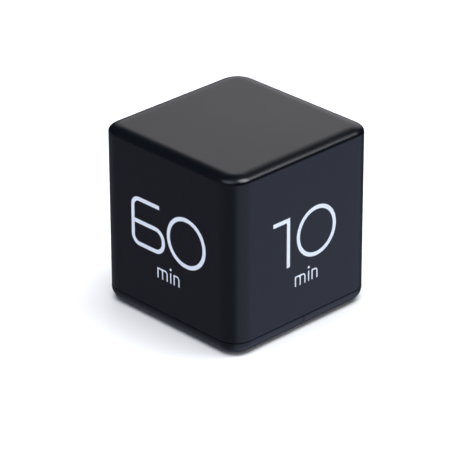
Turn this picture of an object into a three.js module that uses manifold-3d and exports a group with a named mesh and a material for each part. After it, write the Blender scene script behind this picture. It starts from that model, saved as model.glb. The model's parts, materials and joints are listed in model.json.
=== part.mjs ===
// A cube-shaped kitchen timer. Turning a numbered face up starts a countdown of that many minutes,
// and the base carries the display, two slide switches, an alarm lamp and the battery door.
//
// Units are millimetres. +Z is up, the origin is the centre of the base, the face for 60 minutes looks
// along -Y and the face for 10 minutes along +X. The base is split across its middle: the half with the
// display is part of the end cap, and the other half is the battery door, which slides off along +Y.

import * as THREE from "three";
import { mergeVertices } from "three/addons/utils/BufferGeometryUtils.js";
import Module from "manifold-3d";

const wasm = await Module();
wasm.setup();

// ---------------------------------------------------------------- driving dimensions

// The cube.
const WIDTH = 64.77; // along X
const DEPTH = 64.77; // along Y
const HEIGHT = 64.77; // along Z
const EDGE_RADIUS = 7.6; // the four upright edges
const TOP_ROUND = 3.2; // the rim of the blank top
const BASE_ROUND = 4.6; // the rim of the base
const WALL = 2.0; // the shell's sides and top
const SKIN = 2.0; // the base's outer skin, on the end cap and the door
const SEAM_Z = 5.1; // where the shell's sides end
const SEAM_GAP = 0.15; // between the shell's lower edge and the base's rim
const SPLIT_GAP = 0.2; // between the end cap and the battery door
const SPLIT_TO_TRAY = 0.485; // from the split back to the battery tray

// The end cap's lip, which stands inside the shell.
const LIP_GAP = 0.2;
const LIP_WALL = 1.4;
const LIP_RISE = 4.0; // above the seam

// The battery door and what guides it.
const DOOR_GAP = 0.3; // above the door's skin, and beside its rim
const RAIL_DEPTH = 0.7; // how far the door's rails reach into the lip
const RAIL_HEIGHT = 0.9;
const TONGUE_REACH = 1.2; // of the door's front edge into the end cap
const TONGUE_HEIGHT = 0.8;
const GRIP_RIDGES = 6;
const DECK = 1.4; // the end cap's recessed deck above the door
const WEB = 1.8; // from the split back to the end cap's inside

// Two AAA cells, lying along X.
const CELL_RADIUS = 5.25;
const CELL_LENGTH = 44.5;
const CELL_GAP = 0.5; // between the two cells
const NUB_RADIUS = 1.9;
const NUB_LENGTH = 1.0;
const SPRING_LENGTH = 4.3; // as squeezed by a cell
const SPRING_WIRE = 0.25; // radius
const SPRING_TURNS = 3;
const CONTACT = 0.4; // thickness of the contact plates
const TRAY_WALL = 1.2;
const TRAY_GAP = 0.3; // round each cell

// The circuit board.
const BOARD = 1.6; // thickness
const BOARD_Z = 8.4; // underside
const BOARD_GAP = 0.5; // to the lip and the battery tray
const POST_RADIUS = 2.2;

// The display.
const WINDOW_WIDTH = 35;
const WINDOW_DEPTH = 13.6;
const WINDOW = 1.2; // thickness
const VIEW_WIDTH = 31;
const VIEW_DEPTH = 10.4;
const GASKET = 0.2;
const GLASS_WIDTH = 34;
const GLASS_DEPTH = 14.6;
const GLASS = 1.1; // thickness of each of the two panes
const GLASS_LEDGE = 2.0; // the front pane's bare strip, where the connector strips press
const STRIP_WIDTH = 1.5;
const HOLDER_WALL = 1.1;

// The slide switches.
const SWITCH_TRAVEL = 2.0;
const SWITCH_WIDTH = 8.6;
const SWITCH_DEPTH = 4.4;
const LEVER = 1.5; // a square lever
const GRIP_LENGTH = 4.2;
const GRIP_WIDTH = 4.0;
const GRIP_DEPTH = 0.85;
const GRIP_SINK = 0.15; // below the base's surface
const SWITCH_GAP = 0.3;

// The alarm's lamp and buzzer.
const LAMP_RADIUS = 1.5;
const BUZZER_GAP = 0.49; // to the display holder and to the web
const BUZZER_RIM = 1.8; // from the buzzer's edge in to its pins
const SOUND_HOLE = 0.6; // radius
const SOUND_CIRCLE = 2.6; // radius of the ring of sound holes

// The tilt switches, each a can with a steel ball that rolls onto two contacts.
const CAN_RADIUS = 2.5;
const CAN_WALL = 0.3;
const CAN_LENGTH = 9.5;
const PLUG_LENGTH = 1.6;
const BALL_RADIUS = 1.8;
const PIN = 0.5; // width of the square pins

// Screws: the long pair holds the end cap to the shell, and the short four hold the board.
const CAP_SCREW = { shank: 1.1, head: 2.1, headHeight: 1.5, length: 9 };
const BOARD_SCREW = { shank: 0.8, head: 1.8, headHeight: 1.2, length: 5.5 };
const SCREW_GAP = 0.1; // round a shank
const BOSS_RADIUS = 2.4;
const BOSS_CLEARANCE = 0.3; // between the shell's bosses and the battery tray
const HEAD_EDGE = 0.2; // of the lip, outside the recesses for the long screws' heads

const WIRE_RADIUS = 0.6;

// Clearances of pieces that touch or nearly touch.
const REST_GAP = 0.1;
const CUT = 1; // how far a cutting solid runs past the face it opens

// Facets.
const ARC_STEPS = 4; // an outline's quarter arc has twice as many
const ROUND_STEPS = 6; // across a rounded rim

// ---------------------------------------------------------------- places worked out from them

const lipOuterX = WIDTH / 2 - WALL - LIP_GAP;
const lipOuterY = DEPTH / 2 - WALL - LIP_GAP;
const lipInnerX = lipOuterX - LIP_WALL;
const lipInnerY = lipOuterY - LIP_WALL;
const lipCorner = EDGE_RADIUS - WALL - LIP_GAP;
const lipTop = SEAM_Z + LIP_RISE;
const rimTop = SEAM_Z - SEAM_GAP;
const deckZ = SKIN + DOOR_GAP;
const deckTop = deckZ + DECK;

// From the back: the long screws, the bosses that they turn into, the battery tray, and then the split.
const headRecess = CAP_SCREW.head + 2 * SCREW_GAP;
const bossX = 20;
const bossY = lipOuterY - HEAD_EDGE - headRecess;
const seatTop = SEAM_Z + 1;

const cellZ = deckZ + REST_GAP + CELL_RADIUS;
const cellToEdge = CELL_RADIUS + TRAY_GAP + TRAY_WALL;
const trayBack = bossY - BOSS_RADIUS - BOSS_CLEARANCE;
const rearCellY = trayBack - cellToEdge;
const cellY = [rearCellY - 2 * CELL_RADIUS - CELL_GAP, rearCellY];
const trayFront = cellY[0] - cellToEdge;
const trayTop = cellZ + CELL_RADIUS + TRAY_GAP + TRAY_WALL;
const plateGap = REST_GAP; // between a contact plate and the tray's end
const trayHalf = (CELL_LENGTH + SPRING_LENGTH + 2 * (CONTACT + plateGap + REST_GAP)) / 2;
const plateX = trayHalf - plateGap - CONTACT / 2;
const cellShift = trayHalf - plateGap - CONTACT - REST_GAP - CELL_LENGTH / 2;

const splitY = trayFront - SPLIT_TO_TRAY;
const webY = splitY - WEB; // the end cap's inside face beside the split

const boardTop = BOARD_Z + BOARD;
const boardHalfX = lipInnerX - BOARD_GAP;
const boardFront = -(lipInnerY - BOARD_GAP);
const boardBack = trayFront - BOARD_GAP;
const postX = boardHalfX - POST_RADIUS - 0.8;
const postY = [boardFront + POST_RADIUS, boardBack - POST_RADIUS - 1.8];

const holderDepth = GLASS_DEPTH + 2 * (REST_GAP + HOLDER_WALL);
const windowY = -(lipInnerY - 0.3 - holderDepth / 2);
const holderZ = SKIN + REST_GAP;
const glassZ = holderZ + 0.8;
const rowDepth = webY - (windowY + holderDepth / 2); // of the row of switches, lamp and buzzer
const controlsY = webY - rowDepth / 2;
const buzzerRadius = rowDepth / 2 - BUZZER_GAP;
const buzzerPinX = buzzerRadius - BUZZER_RIM;
const volumeX = postX - POST_RADIUS - 0.5 - SWITCH_WIDTH / 2;
const powerX = -volumeX;
const lampX = -8;
const buzzerX = 5.2;
const switchPinX = [-2.5, 0, 2.5];
const lampPinX = [-1.27, 1.27];

// ---------------------------------------------------------------- materials

const material = (color, roughness, metalness = 0) =>
  new THREE.MeshStandardMaterial({ color, roughness, metalness });
const blackPlastic = material(0x1c1d21, 0.45);
const greyPlastic = material(0x3a3c40, 0.6);
const clearPlastic = material(0x2a2e33, 0.1);
const glass = material(0x9aa394, 0.15);
const foam = material(0x101010, 0.95);
const rubber = material(0xd8a0a0, 0.8);
const boardGreen = material(0x1f5a34, 0.5);
const epoxy = material(0x0b0b0c, 0.35);
const tinned = material(0xc9cbcc, 0.3, 1);
const nickel = material(0xb9b6ad, 0.25, 1);
const steel = material(0xd0d2d4, 0.15, 1);
const lampRed = material(0xb01818, 0.2);
const cellJacket = material(0x2f6f9f, 0.4);
const wireRed = material(0xb02020, 0.5);
const wireBlack = material(0x151515, 0.5);

// ---------------------------------------------------------------- solids

// A closed three.js geometry as a solid that can be joined and cut.
function solidOf(geometry) {
  const bare = geometry.clone();
  bare.deleteAttribute("normal");
  bare.deleteAttribute("uv");
  const welded = mergeVertices(bare, 1e-4);
  const corners = welded.index.array;
  const triVerts = [];
  for (let i = 0; i < corners.length; i += 3) {
    const [a, b, c] = [corners[i], corners[i + 1], corners[i + 2]];
    if (a !== b && b !== c && c !== a) triVerts.push(a, b, c);
  }
  const vertProperties = welded.attributes.position.array;
  return new wasm.Manifold(
    new wasm.Mesh({ numProp: 3, vertProperties, triVerts: new Uint32Array(triVerts) }),
  );
}

const join = (...solids) => solids.reduce((whole, piece) => whole.add(piece));
const cut = (solid, ...tools) => tools.reduce((left, tool) => left.subtract(tool), solid);
const move = (solid, x, y, z) => solid.translate([x, y, z]);

// A box between two corners.
function box([x0, x1], [y0, y1], [z0, z1]) {
  const geometry = new THREE.BoxGeometry(x1 - x0, y1 - y0, z1 - z0);
  return solidOf(geometry.translate((x0 + x1) / 2, (y0 + y1) / 2, (z0 + z1) / 2));
}

// An upright rod on (x, y).
function rod(radius, x, y, [z0, z1], sides = 24) {
  const geometry = new THREE.CylinderGeometry(radius, radius, z1 - z0, sides);
  return solidOf(geometry.rotateX(Math.PI / 2).translate(x, y, (z0 + z1) / 2));
}

// A rod along X.
function rodAlongX(radius, [x0, x1], y, z, sides = 32) {
  const geometry = new THREE.CylinderGeometry(radius, radius, x1 - x0, sides);
  return solidOf(geometry.rotateZ(Math.PI / 2).translate((x0 + x1) / 2, y, z));
}

// A profile of [radius, height] points turned round the Z axis.
function turned(profile, sides = 32) {
  const points = profile.map(([r, z]) => new THREE.Vector2(r, z));
  return solidOf(new THREE.LatheGeometry(points, sides).rotateX(Math.PI / 2));
}

// The outline of a rectangle with rounded corners, centred on the origin.
function roundedOutline(width, depth, radius) {
  const [x, y] = [width / 2, depth / 2];
  const shape = new THREE.Shape();
  shape.moveTo(x, radius - y);
  shape.absarc(x - radius, y - radius, radius, 0, Math.PI / 2);
  shape.absarc(radius - x, y - radius, radius, Math.PI / 2, Math.PI);
  shape.absarc(radius - x, radius - y, radius, Math.PI, 1.5 * Math.PI);
  shape.absarc(x - radius, radius - y, radius, 1.5 * Math.PI, 2 * Math.PI);
  shape.closePath();
  return shape;
}

// A plate with rounded corners between two heights.
function plate(width, depth, radius, [z0, z1], curveSegments = ARC_STEPS) {
  const shape = roundedOutline(width, depth, radius);
  const geometry = new THREE.ExtrudeGeometry(shape, { depth: z1 - z0, bevelEnabled: false, curveSegments });
  return solidOf(geometry.translate(0, 0, z0));
}

// The same, with both rims rounded by `round`.
function roundedBlock(width, depth, radius, [z0, z1], round) {
  const shape = roundedOutline(width - 2 * round, depth - 2 * round, radius - round);
  const geometry = new THREE.ExtrudeGeometry(shape, {
    depth: z1 - z0 - 2 * round,
    bevelThickness: round,
    bevelSize: round,
    bevelSegments: ROUND_STEPS,
    curveSegments: ARC_STEPS,
  });
  return solidOf(geometry.translate(0, 0, z0 + round));
}

// A round section carried along a curve.
function tube(curve, radius, steps, sides = 8) {
  const section = new THREE.Shape().absarc(0, 0, radius, 0, 2 * Math.PI);
  return solidOf(
    new THREE.ExtrudeGeometry(section, { steps, extrudePath: curve, curveSegments: sides / 2 }),
  );
}

// Everything on one side of the split through the base.
const capEdge = splitY - SPLIT_GAP / 2;
const doorEdge = splitY + SPLIT_GAP / 2;
const frontHalf = box([-WIDTH, WIDTH], [-DEPTH, capEdge], [-CUT, HEIGHT]);
const backHalf = box([-WIDTH, WIDTH], [doorEdge, DEPTH], [-CUT, HEIGHT]);

const timer = new THREE.Group();

function add(name, solid, finish) {
  const { numProp, numVert, vertProperties, triVerts } = solid.getMesh();
  const position = new Float32Array(numVert * 3);
  for (let i = 0; i < numVert; i++) {
    position.set(vertProperties.subarray(i * numProp, i * numProp + 3), i * 3);
  }
  const geometry = new THREE.BufferGeometry();
  geometry.setAttribute("position", new THREE.BufferAttribute(position, 3));
  geometry.setIndex(new THREE.BufferAttribute(triVerts, 1));
  geometry.computeVertexNormals();
  const mesh = new THREE.Mesh(geometry, finish);
  mesh.name = name;
  timer.add(mesh);
  return mesh;
}

// ---------------------------------------------------------------- shell

const SNAP = { x: 14, width: 8, reach: 0.7, rise: 1.4, z: lipTop - 1.6 };

// Where the end cap's two snaps catch in the shell's front wall.
function snap(x, grow) {
  const half = SNAP.width / 2 + grow;
  return box([x - half, x + half], [-lipOuterY - SNAP.reach - grow, -lipInnerY - 0.2],
    [SNAP.z - grow, SNAP.z + SNAP.rise + grow]);
}

function outerShell() {
  const outside = cut(
    roundedBlock(WIDTH, DEPTH, EDGE_RADIUS, [SEAM_Z - TOP_ROUND - CUT, HEIGHT], TOP_ROUND),
    box([-WIDTH, WIDTH], [-DEPTH, DEPTH], [-CUT, SEAM_Z]),
  );
  const innerRound = Math.max(TOP_ROUND - WALL, 0.8);
  const inside = roundedBlock(WIDTH - 2 * WALL, DEPTH - 2 * WALL, EDGE_RADIUS - WALL,
    [SEAM_Z - innerRound - CUT, HEIGHT - WALL], innerRound);
  const screwHole = (x) =>
    rod(CAP_SCREW.shank + SCREW_GAP, x, bossY, [seatTop, CAP_SCREW.length + deckZ + 3], 16);
  const boss = (x) => join(
    rod(BOSS_RADIUS, x, bossY, [seatTop + REST_GAP, HEIGHT - WALL / 2]),
    box([x - BOSS_RADIUS / 2, x + BOSS_RADIUS / 2], [bossY, DEPTH / 2 - WALL / 2],
      [seatTop + REST_GAP, HEIGHT - WALL / 2]),
  );
  const walls = cut(outside, inside);
  const withBosses = join(walls, boss(-bossX), boss(bossX));
  return cut(withBosses, screwHole(-bossX), screwHole(bossX),
    snap(-SNAP.x, SEAM_GAP), snap(SNAP.x, SEAM_GAP));
}
add("outer_shell", outerShell(), blackPlastic);

// ---------------------------------------------------------------- base: what both halves share

const baseBlock = cut(
  roundedBlock(WIDTH, DEPTH, EDGE_RADIUS, [0, rimTop + BASE_ROUND + CUT], BASE_ROUND),
  box([-WIDTH, WIDTH], [-DEPTH, DEPTH], [rimTop, HEIGHT]),
);

const gripRecess = { length: GRIP_LENGTH + SWITCH_TRAVEL + 2 * SWITCH_GAP, width: GRIP_WIDTH + 2 * SWITCH_GAP };
const stem = { length: LEVER + 1.0, width: LEVER + 0.8 };
const floorOfRecess = GRIP_SINK + GRIP_DEPTH + REST_GAP;

// The cuts in the base's skin for one slide switch, at rest with its grip at the +X end of the slot.
function switchOpening(x) {
  const recess = plate(gripRecess.length, gripRecess.width, 0.8, [-CUT, floorOfRecess], 2);
  const slotX = stem.length / 2 + SWITCH_TRAVEL / 2 + SWITCH_GAP / 2;
  const slotY = stem.width / 2 + SWITCH_GAP / 2;
  const slot = box([-slotX, slotX], [-slotY, slotY], [-CUT, SKIN + CUT]);
  return move(join(recess, slot), x, controlsY, 0);
}

// ---------------------------------------------------------------- end cap

function batteryTray() {
  return box([-trayHalf - TRAY_WALL, trayHalf + TRAY_WALL], [trayFront, trayBack], [deckZ, trayTop]);
}

function batteryRoom() {
  const ends = [-trayHalf, trayHalf];
  const troughs = cellY.map((y) => rodAlongX(CELL_RADIUS + TRAY_GAP, ends, y, cellZ));
  const mouth = box(ends, [trayFront + TRAY_WALL, trayBack - TRAY_WALL], [deckZ - CUT, cellZ]);
  const tabSlot = (y) => box([-trayHalf, -trayHalf + CONTACT + 2 * plateGap], [y - 1.8, y + 1.8],
    [cellZ, trayTop + CUT]);
  const plateRoom = (x) => box([x - CONTACT / 2 - plateGap, x + CONTACT / 2 + plateGap],
    [trayFront + TRAY_WALL, trayBack - TRAY_WALL], [deckZ - CUT, cellZ + 4.6]);
  return join(...troughs, mouth, ...cellY.map(tabSlot), plateRoom(-plateX), plateRoom(plateX));
}

function screwPassage(x) {
  return join(
    rod(CAP_SCREW.shank + SCREW_GAP, x, bossY, [deckZ - CUT, seatTop + CUT], 16),
    rod(headRecess, x, bossY, [deckZ - CUT, deckZ + CAP_SCREW.headHeight + REST_GAP]),
  );
}

function endCap() {
  const front = baseBlock.intersect(frontHalf);
  const room = plate(2 * lipInnerX, 2 * lipInnerY, lipCorner - LIP_WALL, [SKIN, rimTop + CUT]);
  const roomInFront = room.intersect(box([-WIDTH, WIDTH], [-DEPTH, webY], [0, HEIGHT]));
  const lipRing = cut(
    plate(2 * lipOuterX, 2 * lipOuterY, lipCorner, [deckZ, lipTop]),
    plate(2 * lipInnerX, 2 * lipInnerY, lipCorner - LIP_WALL, [deckZ - CUT, lipTop + CUT]),
  );
  const deck = plate(2 * lipOuterX, 2 * lipOuterY, lipCorner, [deckZ, deckTop])
    .intersect(box([-WIDTH, WIDTH], [webY, DEPTH], [0, HEIGHT]));
  const seats = [-bossX, bossX].map((x) => rod(BOSS_RADIUS + 0.6, x, bossY, [deckZ, seatTop])
    .intersect(plate(2 * lipOuterX, 2 * lipOuterY, lipCorner, [0, HEIGHT])));
  const posts = [-postX, postX].flatMap((x) => postY.map((y) => rod(POST_RADIUS, x, y, [SKIN / 2, BOARD_Z])));
  const whole = join(cut(front, roomInFront), lipRing, deck, batteryTray(), ...seats, ...posts,
    snap(-SNAP.x, 0), snap(SNAP.x, 0));

  const bossNotch = (x) => box([x - BOSS_RADIUS - 0.5, x + BOSS_RADIUS + 0.5],
    [bossY - BOSS_RADIUS - 0.2, DEPTH], [seatTop, lipTop + CUT]);
  const postHoles = [-postX, postX].flatMap((x) => postY.map((y) =>
    rod(BOARD_SCREW.shank + SCREW_GAP, x, y, [BOARD_Z - BOARD_SCREW.length + BOARD, BOARD_Z + CUT], 12)));
  const railGroove = (side) => box(
    [side * (lipOuterX - RAIL_DEPTH - DOOR_GAP), side * WIDTH].sort((a, b) => a - b),
    [capEdge, DEPTH],
    [rimTop - RAIL_HEIGHT - 2 * REST_GAP, rimTop + REST_GAP],
  );
  const tongueGroove = box([-bossX - 0.4, bossX + 0.4], [capEdge - TONGUE_REACH, splitY + CUT],
    [SKIN - TONGUE_HEIGHT - REST_GAP, SKIN + REST_GAP]);
  const windowSeat = move(plate(WINDOW_WIDTH + 2 * REST_GAP, WINDOW_DEPTH + 2 * REST_GAP, 1.6,
    [-CUT, REST_GAP + WINDOW + GASKET + REST_GAP]), 0, windowY, 0);
  const view = move(plate(VIEW_WIDTH, VIEW_DEPTH, 0.8, [-CUT, SKIN + CUT], 2), 0, windowY, 0);
  const lampHole = rod(LAMP_RADIUS + REST_GAP, lampX, controlsY, [-CUT, SKIN + CUT]);
  const soundHoles = [rod(SOUND_HOLE, buzzerX, controlsY, [-CUT, SKIN + CUT], 12)];
  for (let i = 0; i < 6; i++) {
    const angle = (i * Math.PI) / 3;
    soundHoles.push(rod(SOUND_HOLE, buzzerX + SOUND_CIRCLE * Math.cos(angle),
      controlsY + SOUND_CIRCLE * Math.sin(angle), [-CUT, SKIN + CUT], 12));
  }
  return cut(whole, batteryRoom(), bossNotch(-bossX), bossNotch(bossX), screwPassage(-bossX),
    screwPassage(bossX), ...postHoles, railGroove(-1), railGroove(1), tongueGroove, windowSeat, view,
    switchOpening(powerX), switchOpening(volumeX), lampHole, ...soundHoles);
}
add("end_cap", endCap(), blackPlastic);

// ---------------------------------------------------------------- battery door

function batteryDoor() {
  const shape = baseBlock.intersect(backHalf);
  const room = plate(2 * (lipOuterX + DOOR_GAP), 2 * (lipOuterY + DOOR_GAP), lipCorner + DOOR_GAP,
    [SKIN, rimTop + CUT]);
  const rail = (side) => box(
    [side * (lipOuterX - RAIL_DEPTH), side * (lipOuterX + DOOR_GAP + 0.4)].sort((a, b) => a - b),
    [splitY + 3, DEPTH / 2 - EDGE_RADIUS - 2],
    [rimTop - RAIL_HEIGHT, rimTop],
  );
  const tongue = box([-bossX, bossX], [splitY - TONGUE_REACH, splitY + CUT], [SKIN - TONGUE_HEIGHT, SKIN]);
  const whole = join(cut(shape, room), rail(-1), rail(1), tongue);
  const ridgeGrooves = [];
  for (let i = 0; i < GRIP_RIDGES; i++) {
    const y = DEPTH / 4 + 1.8 * i - 1;
    const half = 9 - Math.abs(i - (GRIP_RIDGES - 1) / 2);
    ridgeGrooves.push(box([-half, half], [y, y + 0.9], [-CUT, 0.5]));
  }
  return cut(whole, ...ridgeGrooves);
}
add("battery_door", batteryDoor(), blackPlastic);

// ---------------------------------------------------------------- display

add("display_window",
  move(plate(WINDOW_WIDTH, WINDOW_DEPTH, 1.5, [REST_GAP, REST_GAP + WINDOW]), 0, windowY, 0), clearPlastic);

const gasketZ = [REST_GAP + WINDOW + REST_GAP / 2, REST_GAP + WINDOW + GASKET];
add("window_gasket", cut(
  move(plate(WINDOW_WIDTH - 0.2, WINDOW_DEPTH - 0.2, 1.4, gasketZ), 0, windowY, 0),
  move(plate(VIEW_WIDTH + 0.4, VIEW_DEPTH + 0.4, 0.8, [-CUT, SKIN + CUT], 2), 0, windowY, 0),
), foam);

// The display's two panes: the front one is deeper, and the connector strips press on its bare strips.
const frontPane = [glassZ + REST_GAP, glassZ + REST_GAP + GLASS];
const rearPane = [frontPane[1] + 0.05, frontPane[1] + 0.05 + GLASS];
const rearHalf = GLASS_DEPTH / 2 - GLASS_LEDGE;
add("lcd_front_glass", box([-GLASS_WIDTH / 2, GLASS_WIDTH / 2],
  [windowY - GLASS_DEPTH / 2, windowY + GLASS_DEPTH / 2], frontPane), glass);
add("lcd_rear_glass", box([-GLASS_WIDTH / 2, GLASS_WIDTH / 2],
  [windowY - rearHalf, windowY + rearHalf], rearPane), glass);

function lcdHolder() {
  const [halfX, halfY] = [GLASS_WIDTH / 2 + REST_GAP, GLASS_DEPTH / 2 + REST_GAP];
  const outside = box([-halfX - HOLDER_WALL, halfX + HOLDER_WALL],
    [windowY - halfY - HOLDER_WALL, windowY + halfY + HOLDER_WALL], [holderZ, BOARD_Z - REST_GAP]);
  const pocket = box([-halfX, halfX], [windowY - halfY, windowY + halfY], [glassZ, BOARD_Z]);
  const view = box([-VIEW_WIDTH / 2, VIEW_WIDTH / 2], [windowY - VIEW_DEPTH / 2, windowY + VIEW_DEPTH / 2],
    [0, BOARD_Z]);
  return cut(outside, pocket, view);
}
add("lcd_holder", lcdHolder(), greyPlastic);

for (const [name, side] of [["connector_strip_front", -1], ["connector_strip_rear", 1]]) {
  const y = windowY + side * (GLASS_DEPTH / 2 - STRIP_WIDTH / 2 - REST_GAP);
  add(name, box([-GLASS_WIDTH / 2 + 1, GLASS_WIDTH / 2 - 1], [y - STRIP_WIDTH / 2, y + STRIP_WIDTH / 2],
    [frontPane[1] + REST_GAP, BOARD_Z - REST_GAP]), rubber);
}

// ---------------------------------------------------------------- circuit board

const tiltX = 16; // the two lying tilt switches stand this far each side of the middle
const tiltY = -14.5;
const canZ = boardTop + REST_GAP + CAN_RADIUS;
const uprightTilt = { x: (lampX + buzzerX) / 2 - 0.8, y: controlsY };
const tiltPinSpacing = 2.54;
const tiltPinReach = 1.6; // from the plug's flange to where a lying switch's pins turn down

// The lying tilt switches: `heading` is the way that the plug end points, in degrees from +X.
const lyingTilts = [
  { tag: "a", x: -tiltX, y: tiltY, heading: 225 },
  { tag: "b", x: tiltX, y: tiltY, heading: 315 },
];

const wirePads = [
  { name: "battery_wire_red", y: boardFront + 12, tab: 1, finish: wireRed },
  { name: "battery_wire_black", y: boardFront + 15, tab: 0, finish: wireBlack },
];
const padX = -boardHalfX + 2.5;

// The places of a lying tilt switch's two pins on the board.
function tiltPinPlaces({ x, y, heading }) {
  const a = THREE.MathUtils.degToRad(heading);
  const reach = CAN_LENGTH / 2 + 0.8 + tiltPinReach;
  return [-1, 1].map((side) => [
    x + reach * Math.cos(a) - (side * tiltPinSpacing * Math.sin(a)) / 2,
    y + reach * Math.sin(a) + (side * tiltPinSpacing * Math.cos(a)) / 2,
  ]);
}

function mainBoard() {
  const shape = move(plate(2 * boardHalfX, boardBack - boardFront, 3, [BOARD_Z, boardTop], 2),
    0, (boardFront + boardBack) / 2, 0);
  const hole = (radius, x, y, sides = 8) => rod(radius, x, y, [BOARD_Z - CUT, boardTop + CUT], sides);
  const pinHole = (x, y) => hole(PIN / 2 + 0.25, x, y);
  const holes = [-postX, postX].flatMap((x) => postY.map((y) => hole(BOARD_SCREW.shank + 0.3, x, y, 16)));
  for (const centre of [powerX, volumeX]) {
    for (const x of switchPinX) holes.push(pinHole(centre + x, controlsY));
  }
  for (const x of lampPinX) holes.push(pinHole(lampX + x, controlsY));
  for (const side of [-1, 1]) {
    holes.push(pinHole(buzzerX + side * buzzerPinX, controlsY));
    holes.push(pinHole(uprightTilt.x + (side * tiltPinSpacing) / 2, uprightTilt.y));
  }
  for (const tilt of lyingTilts) {
    for (const [x, y] of tiltPinPlaces(tilt)) holes.push(pinHole(x, y));
  }
  return cut(shape, ...holes);
}
add("main_board", mainBoard(), boardGreen);

// A drop of black epoxy over the bare chip.
add("chip_cover", move(turned([[0, 0], [5, 0], [4.7, 0.45], [3.8, 0.95], [2.4, 1.3], [0, 1.45]], 20),
  0, windowY, boardTop + REST_GAP / 2), epoxy);

add("quartz_crystal", rodAlongX(1.0, [-11, -5], boardFront + 2.6, boardTop + REST_GAP + 1.0, 12), nickel);

add("smoothing_capacitor", move(turned([[0, 0], [2.5, 0], [2.5, 0.9], [2.25, 1.15], [2.5, 1.4], [2.5, 6.7],
  [2.2, 7], [0, 7]], 20), 9.5, boardFront + 4.5, boardTop + REST_GAP), epoxy);

// ---------------------------------------------------------------- alarm lamp and buzzer

const pinTop = boardTop + 0.8;
const squarePin = (x, y, [z0, z1]) => box([x - PIN / 2, x + PIN / 2], [y - PIN / 2, y + PIN / 2], [z0, z1]);

function lampLens() {
  const tip = 0.25;
  const profile = [[0, 0]];
  for (let i = 1; i <= 6; i++) {
    const angle = (i * Math.PI) / 12;
    profile.push([LAMP_RADIUS * Math.sin(angle), LAMP_RADIUS * (1 - Math.cos(angle))]);
  }
  profile.push([LAMP_RADIUS, 4.2], [LAMP_RADIUS + 0.4, 4.2], [LAMP_RADIUS + 0.4, 5.2], [0, 5.2]);
  return move(turned(profile, 24), lampX, controlsY, tip);
}
add("alarm_lamp", lampLens(), lampRed);
lampPinX.forEach((x, i) => {
  add(`alarm_lamp_lead_${i + 1}`, squarePin(lampX + x, controlsY, [5.2 + 0.25 + REST_GAP, pinTop]), tinned);
});

function buzzer() {
  const [z0, z1] = [SKIN + 0.5, BOARD_Z - REST_GAP];
  const profile = [[0, z0 + 1.2], [0.8, z0 + 1.2], [0.8, z0], [buzzerRadius - 0.4, z0],
    [buzzerRadius, z0 + 0.4], [buzzerRadius, z1], [0, z1]];
  const pins = [-1, 1].map((side) => squarePin(buzzerX + side * buzzerPinX, controlsY, [z1 - 1, pinTop]));
  return join(move(turned(profile), buzzerX, controlsY, 0), ...pins);
}
add("buzzer", buzzer(), epoxy);

// ---------------------------------------------------------------- slide switches

const switchFloor = 3.2; // underside of a switch's body
const leverX = SWITCH_TRAVEL / 2; // at rest the lever stands at the +X end of its travel

function switchBody(x) {
  const [halfX, halfY] = [SWITCH_WIDTH / 2, SWITCH_DEPTH / 2];
  const body = box([-halfX, halfX], [-halfY, halfY], [switchFloor, BOARD_Z - REST_GAP]);
  const room = (LEVER + SWITCH_TRAVEL) / 2 + REST_GAP;
  const window = box([-room, room], [-LEVER / 2 - REST_GAP, LEVER / 2 + REST_GAP], [0, switchFloor + 2.6]);
  const pins = switchPinX.map((px) => squarePin(px, 0, [BOARD_Z - 1, pinTop]));
  return move(cut(join(body, ...pins), window), x, controlsY, 0);
}

function switchLever(x) {
  const half = LEVER / 2;
  return move(box([leverX - half, leverX + half], [-half, half], [floorOfRecess + 0.4, switchFloor + 2.4]),
    x, controlsY, 0);
}

function switchGrip(x) {
  const grip = plate(GRIP_LENGTH, GRIP_WIDTH, 0.6, [GRIP_SINK, GRIP_SINK + GRIP_DEPTH], 2);
  const ridges = [-1.2, 0, 1.2].map((rx) =>
    box([rx - 0.25, rx + 0.25], [-GRIP_WIDTH, GRIP_WIDTH], [0, GRIP_SINK + 0.35]));
  const shaft = box([-stem.length / 2, stem.length / 2], [-stem.width / 2, stem.width / 2],
    [GRIP_SINK + GRIP_DEPTH - 0.2, switchFloor - 2 * REST_GAP]);
  const half = LEVER / 2 + REST_GAP;
  const socket = box([-half, half], [-half, half], [floorOfRecess + 0.3, switchFloor]);
  return move(cut(join(grip, shaft), socket, ...ridges), x + leverX, controlsY, 0);
}

for (const [name, x] of [["power", powerX], ["volume", volumeX]]) {
  add(`${name}_switch_body`, switchBody(x), nickel);
  add(`${name}_switch_lever`, switchLever(x), epoxy);
  add(`${name}_switch_grip`, switchGrip(x), greyPlastic);
}

// ---------------------------------------------------------------- tilt switches

// Each is modelled upright with its plug end down at z = 0, and then laid down where it has to lie.
function tiltCan() {
  const [r, inner, top] = [CAN_RADIUS, CAN_RADIUS - CAN_WALL, CAN_LENGTH];
  return turned([[0, top - 0.4], [inner, top - 0.4], [inner, 0], [r, 0], [r, top - 0.4], [r - 0.4, top],
    [0, top]], 20);
}

function tiltPlug(lying) {
  const flange = 0.8;
  const body = turned([[0, -flange], [CAN_RADIUS, -flange], [CAN_RADIUS, -REST_GAP / 2],
    [CAN_RADIUS - CAN_WALL - REST_GAP, -REST_GAP / 2], [CAN_RADIUS - CAN_WALL - REST_GAP, PLUG_LENGTH],
    [0, PLUG_LENGTH]], 20);
  const pins = [-1, 1].map((side) => {
    const x = (side * tiltPinSpacing) / 2;
    if (!lying) return squarePin(x, 0, [-flange - BOARD - 0.8, 0]);
    const turn = -flange - tiltPinReach;
    const drop = CAN_RADIUS + REST_GAP + BOARD + 0.8;
    return join(squarePin(x, 0, [turn - PIN / 2, 0]),
      box([x - PIN / 2, x + PIN / 2], [-PIN / 2, drop], [turn - PIN / 2, turn + PIN / 2]));
  });
  return join(body, ...pins);
}

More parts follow.
